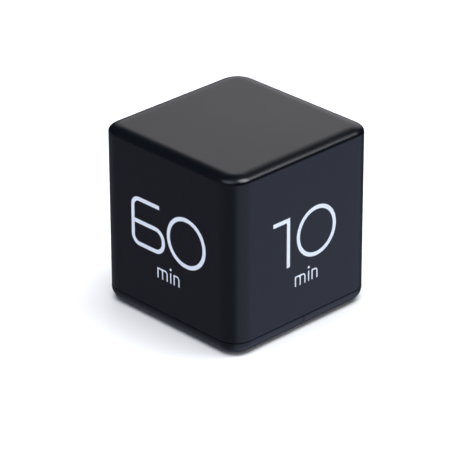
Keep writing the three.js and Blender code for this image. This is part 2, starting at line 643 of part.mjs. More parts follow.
// A lying switch: its own +Y points down, and its plug end points along `heading`.
function layDown(solid, { x, y, heading }) {
  const turn = new THREE.Matrix4().makeRotationZ(THREE.MathUtils.degToRad(heading + 90));
  const tip = new THREE.Matrix4().makeRotationX(-Math.PI / 2);
  const centre = new THREE.Matrix4().makeTranslation(0, 0, -CAN_LENGTH / 2);
  const place = new THREE.Matrix4().makeTranslation(x, y, canZ);
  return solid.transform(place.multiply(turn).multiply(tip).multiply(centre).toArray());
}

// The ball rests on the plug, and in a lying can on the can's lowest line.
const ballStart = PLUG_LENGTH + REST_GAP + BALL_RADIUS;
const ballSag = CAN_RADIUS - CAN_WALL - REST_GAP - BALL_RADIUS;
const ball = (sag) => solidOf(new THREE.SphereGeometry(BALL_RADIUS, 12, 8).translate(0, sag, ballStart));

for (const tilt of lyingTilts) {
  add(`tilt_switch_${tilt.tag}_can`, layDown(tiltCan(), tilt), nickel);
  add(`tilt_switch_${tilt.tag}_plug`, layDown(tiltPlug(true), tilt), epoxy);
  add(`tilt_switch_${tilt.tag}_ball`, layDown(ball(ballSag), tilt), steel);
}
const standUp = (solid) => move(solid, uprightTilt.x, uprightTilt.y, boardTop + REST_GAP + 0.8);
add("tilt_switch_c_can", standUp(tiltCan()), nickel);
add("tilt_switch_c_plug", standUp(tiltPlug(false)), epoxy);
add("tilt_switch_c_ball", standUp(ball(0)), steel);

// ---------------------------------------------------------------- batteries and their contacts

// The first cell's positive end points along +X and the second one's along -X.
const cellSides = [1, -1];

function cell(side) {
  const body = CELL_LENGTH - NUB_LENGTH;
  const edge = 0.5;
  const profile = [[0, 0.3], [CELL_RADIUS - 1.6, 0.3], [CELL_RADIUS - 1.4, 0], [CELL_RADIUS - edge, 0],
    [CELL_RADIUS, edge], [CELL_RADIUS, body - edge], [CELL_RADIUS - edge, body], [NUB_RADIUS, body],
    [NUB_RADIUS, CELL_LENGTH - 0.3], [NUB_RADIUS - 0.3, CELL_LENGTH], [0, CELL_LENGTH]];
  return move(turned(profile), 0, 0, -CELL_LENGTH / 2).rotate([0, side * 90, 0]);
}

cellSides.forEach((side, i) => {
  add(`battery_cell_${i + 1}`, move(cell(side), side * cellShift, cellY[i], cellZ), cellJacket);
});

class ConeCoil extends THREE.Curve {
  constructor(startRadius, endRadius, turns, length) {
    super();
    Object.assign(this, { startRadius, endRadius, turns, length });
  }
  getPoint(t, target = new THREE.Vector3()) {
    const angle = 2 * Math.PI * this.turns * t;
    const radius = this.startRadius + (this.endRadius - this.startRadius) * t;
    return target.set(this.length * t, radius * Math.cos(angle), radius * Math.sin(angle));
  }
}

// A cone spring that stands on a contact plate and presses on the flat end of a cell.
function contactSpring(side, y) {
  const rise = SPRING_LENGTH - 2 * SPRING_WIRE - 2 * REST_GAP;
  const coil = tube(new ConeCoil(3.6, 2.2, SPRING_TURNS, rise), SPRING_WIRE, 16 * SPRING_TURNS, 6);
  const placed = move(coil, -plateX + CONTACT / 2 + SPRING_WIRE + REST_GAP, 0, 0);
  return move(side > 0 ? placed : placed.rotate([0, 0, 180]), 0, y, cellZ);
}

const plateHalf = 4.3;
const plateZ = [cellZ - plateHalf, cellZ + plateHalf];
const contactPlate = (x, [y0, y1]) => box([x - CONTACT / 2, x + CONTACT / 2], [y0, y1], plateZ);
const tabTop = trayTop + 2.2;

// A plate at the -X end, with a solder tab that comes out through the tray's roof.
function terminal(y) {
  const tab = box([-plateX - CONTACT / 2, -plateX + CONTACT / 2], [y - 1.4, y + 1.4], [cellZ, tabTop]);
  return join(contactPlate(-plateX, [y - plateHalf, y + plateHalf]), tab);
}

add("negative_contact", terminal(cellY[0]), nickel);
add("negative_spring", contactSpring(1, cellY[0]), nickel);
add("positive_contact", terminal(cellY[1]), nickel);
add("bridge_contact", contactPlate(plateX, [cellY[0] - plateHalf, cellY[1] + plateHalf]), nickel);
add("bridge_spring", contactSpring(-1, cellY[1]), nickel);

// ---------------------------------------------------------------- wires from the contacts to the board

for (const { name, y, tab, finish } of wirePads) {
  const endX = -plateX + CONTACT / 2 + WIRE_RADIUS + REST_GAP;
  const endZ = tabTop - WIRE_RADIUS;
  const lift = trayTop + 3 + 1.6 * tab;
  const route = [
    [padX, y, boardTop + REST_GAP],
    [padX, y, boardTop + 3],
    [padX - 0.2, y + 3, lift - 0.6],
    [(padX + endX) / 2, trayFront, lift],
    [endX + tab * 1.8, cellY[0] + 1, lift],
    [endX + tab, cellY[tab] - 2.6, endZ + 0.5],
    [endX, cellY[tab] - 1, endZ],
    [endX, cellY[tab] + 1.2, endZ],
  ];
  const curve = new THREE.CatmullRomCurve3(route.map((p) => new THREE.Vector3(...p)), false, "catmullrom", 0.5);
  add(name, tube(curve, WIRE_RADIUS, 32), finish);
}

// ---------------------------------------------------------------- screws

// A pan-head screw with a cross recess, head down at z = 0 and shank up.
function screw({ shank, head, headHeight, length }) {
  const body = turned([[0, 0], [head - 0.4, 0], [head, 0.4], [head, headHeight], [shank, headHeight],
    [shank, headHeight + length - 0.8], [0.2, headHeight + length], [0, headHeight + length]], 16);
  const arm = head * 0.6;
  return cut(body, box([-arm, arm], [-0.3, 0.3], [-CUT, headHeight * 0.6]),
    box([-0.3, 0.3], [-arm, arm], [-CUT, headHeight * 0.6]));
}

[-bossX, bossX].forEach((x, i) => {
  add(`end_cap_screw_${i + 1}`, move(screw(CAP_SCREW), x, bossY, deckZ), steel);
});
[-postX, postX].forEach((x, i) => postY.forEach((y, j) => {
  const turnedOver = screw(BOARD_SCREW).rotate([180, 0, 0]);
  add(`board_screw_${2 * i + j + 1}`,
    move(turnedOver, x, y, boardTop + REST_GAP / 2 + BOARD_SCREW.headHeight), steel);
}));

export default timer;
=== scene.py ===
"""The looks of a cube kitchen timer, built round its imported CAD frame. Units are metres and +Z is up.
The 60 minute face looks along -Y and the 10 minute face along +X. MM turns millimetres to metres."""

import json
import math

import bmesh
import bpy
from mathutils import Matrix, Vector


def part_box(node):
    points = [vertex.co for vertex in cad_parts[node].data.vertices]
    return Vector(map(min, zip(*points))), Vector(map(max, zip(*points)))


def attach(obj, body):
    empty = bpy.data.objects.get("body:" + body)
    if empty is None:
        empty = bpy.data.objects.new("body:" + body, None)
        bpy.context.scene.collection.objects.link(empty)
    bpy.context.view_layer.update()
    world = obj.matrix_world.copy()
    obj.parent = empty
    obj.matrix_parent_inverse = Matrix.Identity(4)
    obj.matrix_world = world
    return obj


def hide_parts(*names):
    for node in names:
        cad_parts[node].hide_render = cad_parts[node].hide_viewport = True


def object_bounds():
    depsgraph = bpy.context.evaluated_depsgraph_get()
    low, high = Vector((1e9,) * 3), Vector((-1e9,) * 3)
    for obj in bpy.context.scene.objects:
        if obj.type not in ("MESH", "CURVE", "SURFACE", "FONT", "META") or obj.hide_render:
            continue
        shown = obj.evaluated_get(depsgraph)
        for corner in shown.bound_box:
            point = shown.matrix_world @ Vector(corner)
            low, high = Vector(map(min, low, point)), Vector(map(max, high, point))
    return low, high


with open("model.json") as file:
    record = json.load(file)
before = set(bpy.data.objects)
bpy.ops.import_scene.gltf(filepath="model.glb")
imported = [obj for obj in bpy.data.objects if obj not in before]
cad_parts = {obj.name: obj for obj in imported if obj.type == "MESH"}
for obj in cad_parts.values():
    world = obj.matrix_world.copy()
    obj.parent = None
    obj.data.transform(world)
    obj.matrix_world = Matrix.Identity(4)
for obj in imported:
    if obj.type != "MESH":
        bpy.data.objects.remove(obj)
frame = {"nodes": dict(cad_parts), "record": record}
cad_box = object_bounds()

MM = 0.001

# ---------------------------------------------------------------- sizes

HALF = cad_box[1].x  # of the cube's width, and of its depth
TOP = cad_box[1].z
EDGE_RADIUS = 7.6 * MM  # the four upright edges
TOP_INSET = 5.2 * MM  # how far in from the sides the blank top starts to round off
TOP_DROP = 2.3 * MM  # and how far down the sides it ends
BASE_ROUND = 4.6 * MM  # the rim of the base
WALL = 2.0 * MM
SKIN = 2.0 * MM  # of the base
EASE = 0.15 * MM  # the small rounding of a moulded edge
INK = 0.04 * MM  # thickness of the printed numbers, let into the shell's faces
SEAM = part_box("outer_shell")[0].z
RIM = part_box("battery_door")[1].z
SPLIT_GAP = 0.2 * MM  # between the end cap and the battery door, across the middle
WEB = 1.8 * MM  # from the split back to the end cap's inside
LIP_OUT = HALF - WALL - 0.2 * MM
LIP_IN = LIP_OUT - 1.4 * MM
LIP_TOP = SEAM + 4.0 * MM
DECK_LOW = SKIN + 0.3 * MM
DECK_TOP = DECK_LOW + 1.4 * MM
SEAT_TOP = SEAM + 1.0 * MM  # where the shell's bosses rest
BOSS = 2.4 * MM  # radius
SCREW_HOLE = 1.2 * MM  # radius of the way for a long screw, in the end cap and in the shell's bosses
CORNER_STEPS = 14
RIM_STEPS = 10
SAME_LINE = 1e-7  # metres, within which an edge runs straight along an axis
SAME_LEVEL = 1e-6  # metres, within which a point lies on a plane


# ---------------------------------------------------------------- modelling helpers


def activate(piece):
    """Makes a piece the only selected object and the active one."""
    bpy.ops.object.select_all(action="DESELECT")
    piece.select_set(True)
    bpy.context.view_layer.objects.active = piece
    return piece


def place(piece, matrix=None):
    """Moves a piece by a matrix, and puts its whole place into its mesh."""
    if matrix is not None:
        piece.matrix_world = matrix @ piece.matrix_world
    activate(piece)
    bpy.ops.object.transform_apply(location=True, rotation=True, scale=True)
    return piece


def new_piece(name):
    """Names the object that an operator has just added, and applies its place."""
    piece = bpy.context.object
    piece.name = name
    piece.data.name = name
    return place(piece)


def pick(piece, kind, wanted):
    """Opens a piece in edit mode with only the vertices, edges or faces selected that `wanted` accepts."""
    activate(piece)
    bpy.ops.object.mode_set(mode="EDIT")
    bpy.ops.mesh.select_mode(type=kind)
    bpy.ops.mesh.select_all(action="DESELECT")
    mesh = bmesh.from_edit_mesh(piece.data)
    elements = {"VERT": mesh.verts, "EDGE": mesh.edges, "FACE": mesh.faces}[kind]
    for element in elements:
        if wanted(element):
            element.select_set(True)
    bmesh.update_edit_mesh(piece.data)


def leave():
    bpy.ops.object.mode_set(mode="OBJECT")


def upright(edge):
    low, high = edge.verts
    return abs(low.co.x - high.co.x) + abs(low.co.y - high.co.y) < SAME_LINE


def level_at(height):
    """Says yes to the edges or faces that lie at a height."""
    return lambda element: all(abs(v.co.z - height) < SAME_LEVEL for v in element.verts)


def at(x, y, z=0.0):
    """A place given in millimetres."""
    return Vector((x, y, z)) * MM


def middle_of(node):
    """The middle of a CAD node's box."""
    low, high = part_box(node)
    return (low + high) / 2


def turn(degrees, axis="Z"):
    return Matrix.Rotation(math.radians(degrees), 4, axis)


def shift(x, y, z):
    return Matrix.Translation((x, y, z))


def round_edges(piece, wanted, radius, steps=2):
    pick(piece, "EDGE", wanted)
    bpy.ops.mesh.bevel(offset=radius, segments=steps, affect="EDGES", clamp_overlap=False)
    leave()
    return piece


def block(name, low, high):
    """A box between two corners."""
    low, high = Vector(low), Vector(high)
    bpy.ops.mesh.primitive_cube_add(size=1, location=(low + high) / 2, scale=high - low)
    return new_piece(name)


def slab(name, low, high, corner, steps=CORNER_STEPS):
    """A box with its four upright edges rounded."""
    return round_edges(block(name, low, high), upright, corner, steps)


def rod(name, radius, centre, low, high, sides=32):
    """An upright rod between two heights."""
    bpy.ops.mesh.primitive_cylinder_add(
        vertices=sides, radius=radius, depth=high - low, location=(centre[0], centre[1], (low + high) / 2)
    )
    return new_piece(name)


def stretch(piece, wanted, factors, centre):
    """Scales the vertices that `wanted` accepts about a centre."""
    pick(piece, "VERT", wanted)
    bpy.ops.transform.resize(value=factors, center_override=centre)
    leave()
    return piece


def trim(piece, place_of_cut, away):
    """Cuts off what lies beyond a plane, on the side that `away` points to, and closes the cut."""
    pick(piece, "FACE", lambda face: True)
    bpy.ops.mesh.bisect(plane_co=place_of_cut, plane_no=away, use_fill=True, clear_outer=True)
    leave()
    return piece


def flare(tool, centre, half_x, half_y):
    """Widens the mouth of a tool that cuts up into the base, so that the opening's edge is eased."""
    pick(tool, "FACE", lambda face: True)
    bpy.ops.mesh.bisect(plane_co=(0, 0, EASE), plane_no=(0, 0, 1))
    leave()
    wide = 2 * EASE
    factors = (1 + wide / half_x, 1 + wide / half_y, 1)
    return stretch(tool, lambda v: v.co.z < 0, factors, (centre[0], centre[1], 0))


def opening(centre, length, width, depth, corner):
    """A tool for an opening with rounded corners and an eased mouth in the underside of the base."""
    low = (centre[0] - length / 2, centre[1] - width / 2, -EASE)
    high = (centre[0] + length / 2, centre[1] + width / 2, depth)
    return flare(slab("opening", low, high, corner, 5), centre, length / 2, width / 2)


def drilling(centre, radius, depth):
    """A tool for a round hole with an eased mouth in the underside of the base."""
    return flare(rod("drilling", radius, centre, -EASE, depth, 24), centre, radius, radius)


def gather(first, *others):
    """Makes one object of pieces that don't touch one another."""
    activate(first)
    for other in others:
        other.select_set(True)
    bpy.ops.object.join()
    return first


def turned(name, profile, sides=48):
    """A closed solid from (radius, height) points, spun round the Z axis."""
    curve = bpy.data.curves.new(name, "CURVE")
    spline = curve.splines.new("POLY")
    spline.points.add(len(profile) - 1)
    for point, (radius, height) in zip(spline.points, profile):
        point.co = (radius, 0, height, 1)
    piece = to_mesh(name, curve)
    pick(piece, "EDGE", lambda edge: True)
    bpy.ops.mesh.spin(steps=sides, angle=2 * math.pi, center=(0, 0, 0), axis=(0, 0, 1))
    bpy.ops.mesh.select_all(action="SELECT")
    bpy.ops.mesh.remove_doubles(threshold=SAME_LEVEL)
    bpy.ops.mesh.normals_make_consistent(inside=False)
    leave()
    return piece


def to_mesh(name, curve):
    """Turns curve data into a mesh piece."""
    piece = bpy.data.objects.new(name, curve)
    bpy.context.scene.collection.objects.link(piece)
    activate(piece)
    bpy.ops.object.convert(target="MESH")
    return bpy.context.object


def outlined(name, outlines, thickness):
    """A flat piece with these outlines in X and Y, half of its thickness each side of z = 0."""
    curve = bpy.data.curves.new(name, "CURVE")
    curve.dimensions = "2D"
    curve.fill_mode = "BOTH"
    curve.extrude = thickness / 2
    for outline in outlines:
        spline = curve.splines.new("POLY")
        spline.points.add(len(outline) - 1)
        spline.use_cyclic_u = True
        for point, (x, y) in zip(spline.points, outline):
            point.co = (x, y, 0, 1)
    return to_mesh(name, curve)


def wire(name, points, radius):
    """A round wire along a smooth line through these points."""
    curve = bpy.data.curves.new(name, "CURVE")
    curve.dimensions = "3D"
    curve.bevel_depth = radius
    curve.bevel_resolution = 4
    curve.use_fill_caps = True
    spline = curve.splines.new("BEZIER")
    spline.bezier_points.add(len(points) - 1)
    for knot, point in zip(spline.bezier_points, points):
        knot.co = point
        knot.handle_left_type = knot.handle_right_type = "AUTO"
    return to_mesh(name, curve)


def combine(piece, *others, operation="UNION"):
    """Joins other pieces to a piece, or cuts them out of it. The others are used up."""
    for other in others:
        activate(piece)
        bpy.ops.object.modifier_add(type="BOOLEAN")
        modifier = piece.modifiers[-1]
        modifier.object = other
        modifier.operation = operation
        modifier.solver = "EXACT"
        bpy.ops.object.modifier_apply(modifier=modifier.name)
        bpy.data.objects.remove(other)
    return piece


def cut(piece, *tools):
    return combine(piece, *tools, operation="DIFFERENCE")


def smooth(piece, degrees=32):
    """Shades rounded stretches smooth, and keeps flat faces flat."""
    activate(piece)
    bpy.ops.object.shade_smooth_by_angle(angle=math.radians(degrees))
    bpy.ops.object.modifier_add(type="WEIGHTED_NORMAL")
    piece.modifiers[-1].keep_sharp = True
    bpy.ops.object.modifier_apply(modifier=piece.modifiers[-1].name)
    return piece


def fit(piece, body, *nodes, slot=None):
    """Lets a finished piece ride on a body, in place of CAD nodes, which it hides. Its slot argument is not
    used.
    """
    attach(piece, body)
    if nodes:
        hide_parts(*nodes)
    return piece


# ---------------------------------------------------------------- shader helpers


class Flow:
    """A shader socket. Arithmetic on it adds the Math nodes that work the result out."""

    def __init__(self, tree, socket=None):
        self.tree = tree
        self.socket = socket

    def node(self, kind, settings=None, inputs=None, output=0):
        """Adds a node: its settings first, and then the values or links of its inputs."""
        made = self.tree.nodes.new("ShaderNode" + kind)
        for key, value in (settings or {}).items():
            setattr(made, key, value)
        for key, value in (inputs or {}).items():
            if isinstance(value, Flow):
                self.tree.links.new(value.socket, made.inputs[key])
            else:
                made.inputs[key].default_value = value
        return Flow(self.tree, made.outputs[output])

    def math(self, operation, *values):
        """A Math node's result. Its inputs are this socket and the values."""
        return self.node("Math", {"operation": operation}, dict(enumerate((self, *values))))

    def __add__(self, other):
        return self.math("ADD", other)

    __radd__ = __add__

    def __mul__(self, other):
        return self.math("MULTIPLY", other)

    __rmul__ = __mul__

    def __sub__(self, other):
        return self.math("SUBTRACT", other)

    def __rsub__(self, other):
        return self * -1 + other

    def __gt__(self, other):
        return self.math("GREATER_THAN", other)


class Finish:
    """A material under way: its node tree, its shader, and where its patterns are read from."""

    def __init__(self, name, **constants):
        self.material = bpy.data.materials.new(name)
        self.material.use_nodes = True
        tree = self.material.node_tree
        self.shader = tree.nodes["Principled BSDF"]
        for key, value in constants.items():
            self.shader.inputs[key.replace("_", " ")].default_value = value
        self.start = Flow(tree)
        self.place = self.start.node("TexCoord", output="Object")

    def part(self, axis):
        """One coordinate of the place, in metres."""
        return self.start.node("SeparateXYZ", {}, {0: self.place}, axis)

    def noise(self, per_mm, detail=2.0, roughness=0.5):
        """Noise with so many features per millimetre, from about 0.25 to 0.75."""
        inputs = {"Vector": self.place, "Scale": per_mm / MM, "Detail": detail, "Roughness": roughness}
        return self.start.node("TexNoise", {}, inputs)

    def mix(self, factor, first, second):
        """A colour between two colours."""
        sockets = {0: factor, 6: first, 7: second}
        return self.start.node("Mix", {"data_type": "RGBA"}, sockets, 2)

    def bump(self, height, depth, strength=1.0):
        """A normal from a height from 0 to 1, for a relief so deep."""
        inputs = {"Height": height, "Distance": depth, "Strength": strength}
        return self.start.node("Bump", {}, inputs)

    def feed(self, **sockets):
        """Links values into the shader's sockets, and gives the material."""
        for key, value in sockets.items():
            self.start.tree.links.new(value.socket, self.shader.inputs[key.replace("_", " ")])
        return self.material


def rgb(red, green, blue):
    return (red, green, blue, 1)


def wear(material, piece):
    """Gives a piece one material."""
    piece.data.materials.clear()
    piece.data.materials.append(material)
    return piece


# ---------------------------------------------------------------- materials


def satin_plastic(name, colour, roughness, grain=0.006 * MM):
    """Dark moulded plastic: a fine spark-eroded grain, and a slight unevenness of sheen and tone."""
    made = Finish(name)
    mottle = made.noise(0.05, 3)
    speckle = made.noise(3.0, 2, 0.6)
    tone = mottle * 0.4 + speckle * 0.6
    low = rgb(*[c * 0.7 for c in colour])
    high = rgb(*[c * 1.3 for c in colour])
    return made.feed(
        Base_Color=made.mix(tone, low, high),
        Roughness=made.noise(0.03, 2) * 0.08 + speckle * 0.05 + (roughness - 0.065),
        Normal=made.bump(speckle, grain),
    )


def plain_plastic(name, colour, roughness):
    """Moulded or dipped plastic for small pieces, with a slight mottle."""
    made = Finish(name)
    mottle = made.noise(0.6, 2)
    low = rgb(*[c * 0.85 for c in colour])
    high = rgb(*[c * 1.15 for c in colour])
    return made.feed(
        Base_Color=made.mix(mottle, low, high),
        Roughness=mottle * 0.12 + (roughness - 0.06),
        Normal=made.bump(made.noise(4.0), 0.004 * MM),
    )


def plated_metal(name, colour, roughness):
    """Plated sheet or turned steel, with fine scuffs."""
    made = Finish(name, Metallic=1.0)
    scuff = made.noise(1.5, 4, 0.7)
    low = rgb(*[c * 0.86 for c in colour])
    return made.feed(
        Base_Color=made.mix(scuff, low, rgb(*colour)),
        Roughness=scuff * 0.2 + (roughness - 0.1),
        Normal=made.bump(scuff, 0.003 * MM),
    )


def printed_ink(name, colour):
    """Pad-printed ink: nearly flat, with a faint unevenness where it lies on the grain."""
    made = Finish(name, Specular_IOR_Level=0.3)
    speckle = made.noise(3.0, 2, 0.6)
    low = rgb(*[c * 0.94 for c in colour])
    return made.feed(
        Base_Color=made.mix(speckle, low, rgb(*colour)),
        Roughness=speckle * 0.1 + 0.45,
        Normal=made.bump(speckle, 0.0015 * MM),
    )


def clear_window(name):
    """Polished clear plastic with a smoky tint: mostly see-through, with faint wiping marks in its gloss."""
    made = Finish(name)
    wiped = made.noise(0.15, 4, 0.7)
    return made.feed(
        Base_Color=made.mix(wiped, rgb(0.02, 0.022, 0.025), rgb(0.035, 0.037, 0.04)),
        Roughness=wiped * 0.06 + 0.02,
        Alpha=wiped * 0.06 + 0.22,
    )


def striped_rubber(name):
    """Connector strip: dark conducting layers across pink rubber."""
    made = Finish(name)
    along = made.part("X")
    layers = (along * (1 / (0.25 * MM))).math("FRACT") > 0.6
    return made.feed(
        Base_Color=made.mix(layers, rgb(0.66, 0.36, 0.38), rgb(0.05, 0.045, 0.045)),
        Roughness=made.noise(1.0) * 0.1 + 0.6,
    )


def cell_finish(name, number, side):
    """A cell's printed jacket, dark with a copper band by its positive end, and its bare metal ends."""
    made = Finish(name)
    middle = middle_of(f"battery_cell_{number}")
    across = made.part("Y") - middle.y
    rise = made.part("Z") - middle.z
    from_axis = (across * across + rise * rise).math("SQRT")
    jacket = from_axis > 4.4 * MM
    band = made.part("X") * side > 9.0 * MM
    scuff = made.noise(1.2, 4, 0.7)
    printed = made.mix(band, rgb(0.012, 0.014, 0.018), rgb(0.50, 0.20, 0.07))
    metal = made.mix(scuff, rgb(0.52, 0.51, 0.49), rgb(0.66, 0.65, 0.62))
    return made.feed(
        Base_Color=made.mix(jacket, metal, printed),
        Metallic=1 - jacket * (1 - band * 0.7),
        Roughness=scuff * 0.16 + 0.22,
    )


SHELL = satin_plastic("shell_plastic", (0.0021, 0.0025, 0.0036), 0.24)
WHITE_INK = printed_ink("white_ink", (0.72, 0.78, 0.88))
BLACK_INK = printed_ink("black_ink", (0.012, 0.012, 0.014))
FINISHES = {
    "shell_black": SHELL,
    "window_clear": clear_window("window_clear"),
    "foam_black": plain_plastic("foam_black", (0.02, 0.02, 0.02), 0.9),
    "display_glass": plain_plastic("display_glass", (0.34, 0.38, 0.32), 0.2),
    "inner_plastic": plain_plastic("inner_plastic", (0.05, 0.052, 0.056), 0.5),
    "strip_rubber": striped_rubber("strip_rubber"),
    "board_green": plain_plastic("board_green", (0.02, 0.12, 0.045), 0.4),
    "epoxy_black": plain_plastic("epoxy_black", (0.012, 0.012, 0.013), 0.35),
    "lamp_red": plain_plastic("lamp_red", (0.45, 0.015, 0.015), 0.15),
    "cell_jacket": cell_finish("cell_1_jacket", 1, 1),
    "nickel": plated_metal("nickel", (0.62, 0.60, 0.56), 0.3),
    "steel": plated_metal("steel", (0.70, 0.70, 0.72), 0.25),
    "wire_red": plain_plastic("wire_red", (0.42, 0.02, 0.02), 0.45),
    "wire_black": plain_plastic("wire_black", (0.015, 0.015, 0.015), 0.45),
    "grip_plastic": plain_plastic("grip_plastic", (0.045, 0.047, 0.052), 0.5),
}
for row in frame["record"]["subparts"]:
    wear(FINISHES[row["material_slot"]], frame["nodes"][row["node"]])


# ---------------------------------------------------------------- shell


def make_shell():
    """The five-sided moulding, let in by the ink's thickness so that the print ends flush with the cube."""
    side = HALF - INK
    shell = slab("shell", (-side, -side, SEAM), (side, side, TOP), EDGE_RADIUS - INK)
    round_edges(shell, level_at(TOP), TOP_INSET, RIM_STEPS)
    flatter = (1, 1, TOP_DROP / TOP_INSET)
    stretch(shell, lambda v: v.co.z > TOP - TOP_INSET - EASE, flatter, (0, 0, TOP))
    round_edges(shell, level_at(SEAM), EASE)
    inner = HALF - WALL
    cut(shell, slab("hollow", (-inner, -inner, SEAM - WALL), (inner, inner, TOP - WALL), EDGE_RADIUS - WALL))
    for number in (1, 2):
        screw = f"end_cap_screw_{number}"
        centre = middle_of(screw)
        hole_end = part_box(screw)[1].z + 1.5 * MM
        foot = SEAT_TOP + 0.1 * MM
        boss = rod("boss", BOSS, centre, foot, TOP - WALL / 2)
        rib_low = (centre.x - BOSS / 2, centre.y, foot)
        rib = block("rib", rib_low, (centre.x + BOSS / 2, inner + EASE, TOP - WALL / 2))
        combine(shell, combine(boss, rib))
        cut(shell, rod("hole", SCREW_HOLE, centre, foot - WALL, hole_end))
    return smooth(wear(SHELL, shell))


fit(make_shell(), "case", "outer_shell", slot="shell_black")


# ---------------------------------------------------------------- printed numbers

STROKE = 1.45 * MM
THIN_STROKE = 0.5 * MM
TALL = (26.3 * MM, 44.4 * MM)  # heights of the digits' lower and upper edges
WAIST = 35.3 * MM + STROKE / 2  # height of the upper edge of their middle strokes


def rounded(corners, steps=8):
    """A closed outline from corners, each (x, z, radius)."""
    outline = []
    for i, (x, z, radius) in enumerate(corners):
        here = Vector((x, z))
        before = (Vector(corners[i - 1][:2]) - here).normalized()
        after = (Vector(corners[(i + 1) % len(corners)][:2]) - here).normalized()
        if not radius:
            outline.append(here)
            continue
        half = before.angle(after) / 2
        centre = here + (before + after).normalized() * radius / math.sin(half)
        start = here + before * radius / math.tan(half) - centre
        end = here + after * radius / math.tan(half) - centre
        sweep = start.angle_signed(end)
        for step in range(steps + 1):
            outline.append(centre + Matrix.Rotation(-sweep * step / steps, 2) @ start)
    return outline


def circle(x, z, radius, steps=96):
    turns = [2 * math.pi * i / steps for i in range(steps)]
    return [Vector((x + radius * math.cos(a), z + radius * math.sin(a))) for a in turns]


def ring(x, z, radius, stroke):
    return [circle(x, z, radius), circle(x, z, radius - stroke)]


def bar(x0, y0, x1, y1):
    """A plain rectangle's outline."""
    return [Vector((x0, y0)), Vector((x1, y0)), Vector((x1, y1)), Vector((x0, y1))]


def six(left, right, arm):
    """A squared six: its arm ends at x = arm."""
    low, high = TALL
    corner, bowl = 3.7 * MM, 4.6 * MM
    inner = left + STROKE
    outside = [
        (arm, high, 0), (left, high, corner), (left, low, corner), (right, low, bowl), (right, WAIST, bowl),
        (inner, WAIST, 0), (inner, high - STROKE, corner - STROKE), (arm, high - STROKE, 0),
    ]
    hole = [
        (inner, WAIST - STROKE, 0), (right - STROKE, WAIST - STROKE, bowl - STROKE),
        (right - STROKE, low + STROKE, bowl - STROKE), (inner, low + STROKE, corner - STROKE),
    ]
    return [rounded(outside), rounded(hole)]


def one(left, right):
    """A one with a level flag, which hangs a little lower than the other digits."""
    low, high = TALL[0] - 0.3 * MM, TALL[1] - 0.2 * MM
    return [rounded([
        (left, high, 0), (left, high - STROKE, 0), (right - STROKE, high - STROKE, 0),
        (right - STROKE, low, 0), (right, low, 0), (right, high, 0),
    ])]


def two(left, right):
    """A squared two."""
    low, high = TALL
    corner = 4.2 * MM
    return [rounded([
        (left, high, 0), (right, high, corner), (right, WAIST - STROKE, corner),
        (left + STROKE, WAIST - STROKE, corner - STROKE), (left + STROKE, low + STROKE, 0),
        (right, low + STROKE, 0), (right, low, 0), (left, low, 0), (left, WAIST, corner),
        (right - STROKE, WAIST, corner - STROKE), (right - STROKE, high - STROKE, corner - STROKE),
        (left, high - STROKE, 0),
    ])]


def three(left, right):
    """A squared three."""
    low, high = TALL
    corner = 4.0 * MM
    inner = right - STROKE
    return [rounded([
        (left, high, 0), (right, high, corner), (right, low, corner), (left, low, 0), (left, low + STROKE, 0),
        (inner, low + STROKE, corner - STROKE), (inner, WAIST - STROKE, 0),
        (left + 2 * STROKE, WAIST - STROKE, 0), (left + 2 * STROKE, WAIST, 0),
        (inner, WAIST, 0), (inner, high - STROKE, corner - STROKE), (left, high - STROKE, 0),
    ])]


def arches(left, pitch, count, base, top):
    """The outline of an n, or of an m with a count of two."""
    thin = THIN_STROKE
    corner = 1.3 * MM
    right = left + count * pitch + thin
    outline = [(left, base, 0), (left, top, 0), (right, top, corner), (right, base, 0)]
    for i in reversed(range(count)):
        start, end = left + i * pitch + thin, left + (i + 1) * pitch
        outline += [(end, base, 0), (end, top - thin, corner - thin)]
        outline += [(start, top - thin, 0.4 * MM), (start, base, 0)]
    return rounded(outline, 6)


def minutes_word():
    """The unit under the digits: m, i and n in thin strokes."""
    base, top = 17.6 * MM, 21.4 * MM
    stem = 1.7 * MM
    dot = circle(stem + THIN_STROKE / 2, 22.7 * MM, 0.45 * MM, 24)
    return [
        arches(-4.5 * MM, 2.225 * MM, 2, base, top), bar(stem, base, stem + THIN_STROKE, top), dot,
        arches(3.35 * MM, 2.3 * MM, 1, base, top),
    ]


def print_on_face(name, outlines, degrees, lower):
    """Flat ink with these outlines, made on the -Y face and then turned to its own face about Z."""
    ink = outlined(name, outlines, INK)
    place(ink, turn(degrees) @ shift(0, -HALF + INK / 2, -lower) @ turn(90, "X"))
    return fit(wear(WHITE_INK, ink), "case")


ZERO_RADIUS = 9.25 * MM
ZERO_HEIGHT = 35.25 * MM
FACES = {  # first digit, middle of the zero, degrees from the -Y face, and how much lower it is printed
    "sixty": (six(-16.85 * MM, -0.7 * MM, -3.3 * MM), 9.6 * MM, 0, 0),
    "ten": (one(-14.7 * MM, -6.95 * MM), 5.45 * MM, 90, 0.2 * MM),
    "twenty": (two(-15.6 * MM, -1.4 * MM), 9.3 * MM, 180, 0),
    "thirty": (three(-15.6 * MM, -1.4 * MM), 9.3 * MM, 270, 0),
}
for face, (digit, zero_x, degrees, lower) in FACES.items():
    print_on_face(f"digits_{face}", [*digit, *ring(zero_x, ZERO_HEIGHT, ZERO_RADIUS, STROKE)], degrees, lower)
    print_on_face(f"unit_{face}", minutes_word(), degrees, lower)


# ---------------------------------------------------------------- base: what both halves share


def base_half(name, side):
    """The end cap's half of the base for side -1, or the door's for side 1, as a block with eased edges."""
    base = slab(name, (-HALF, -HALF, 0), (HALF, HALF, RIM), EDGE_RADIUS)
    round_edges(base, level_at(0), BASE_ROUND, RIM_STEPS)
    split = side * SPLIT_GAP / 2
    trim(base, (0, split, 0), (0, -side, 0))

    def sharp(edge):
        return level_at(RIM)(edge) or all(abs(v.co.y - split) < SAME_LEVEL for v in edge.verts)

    return round_edges(base, sharp, EASE)


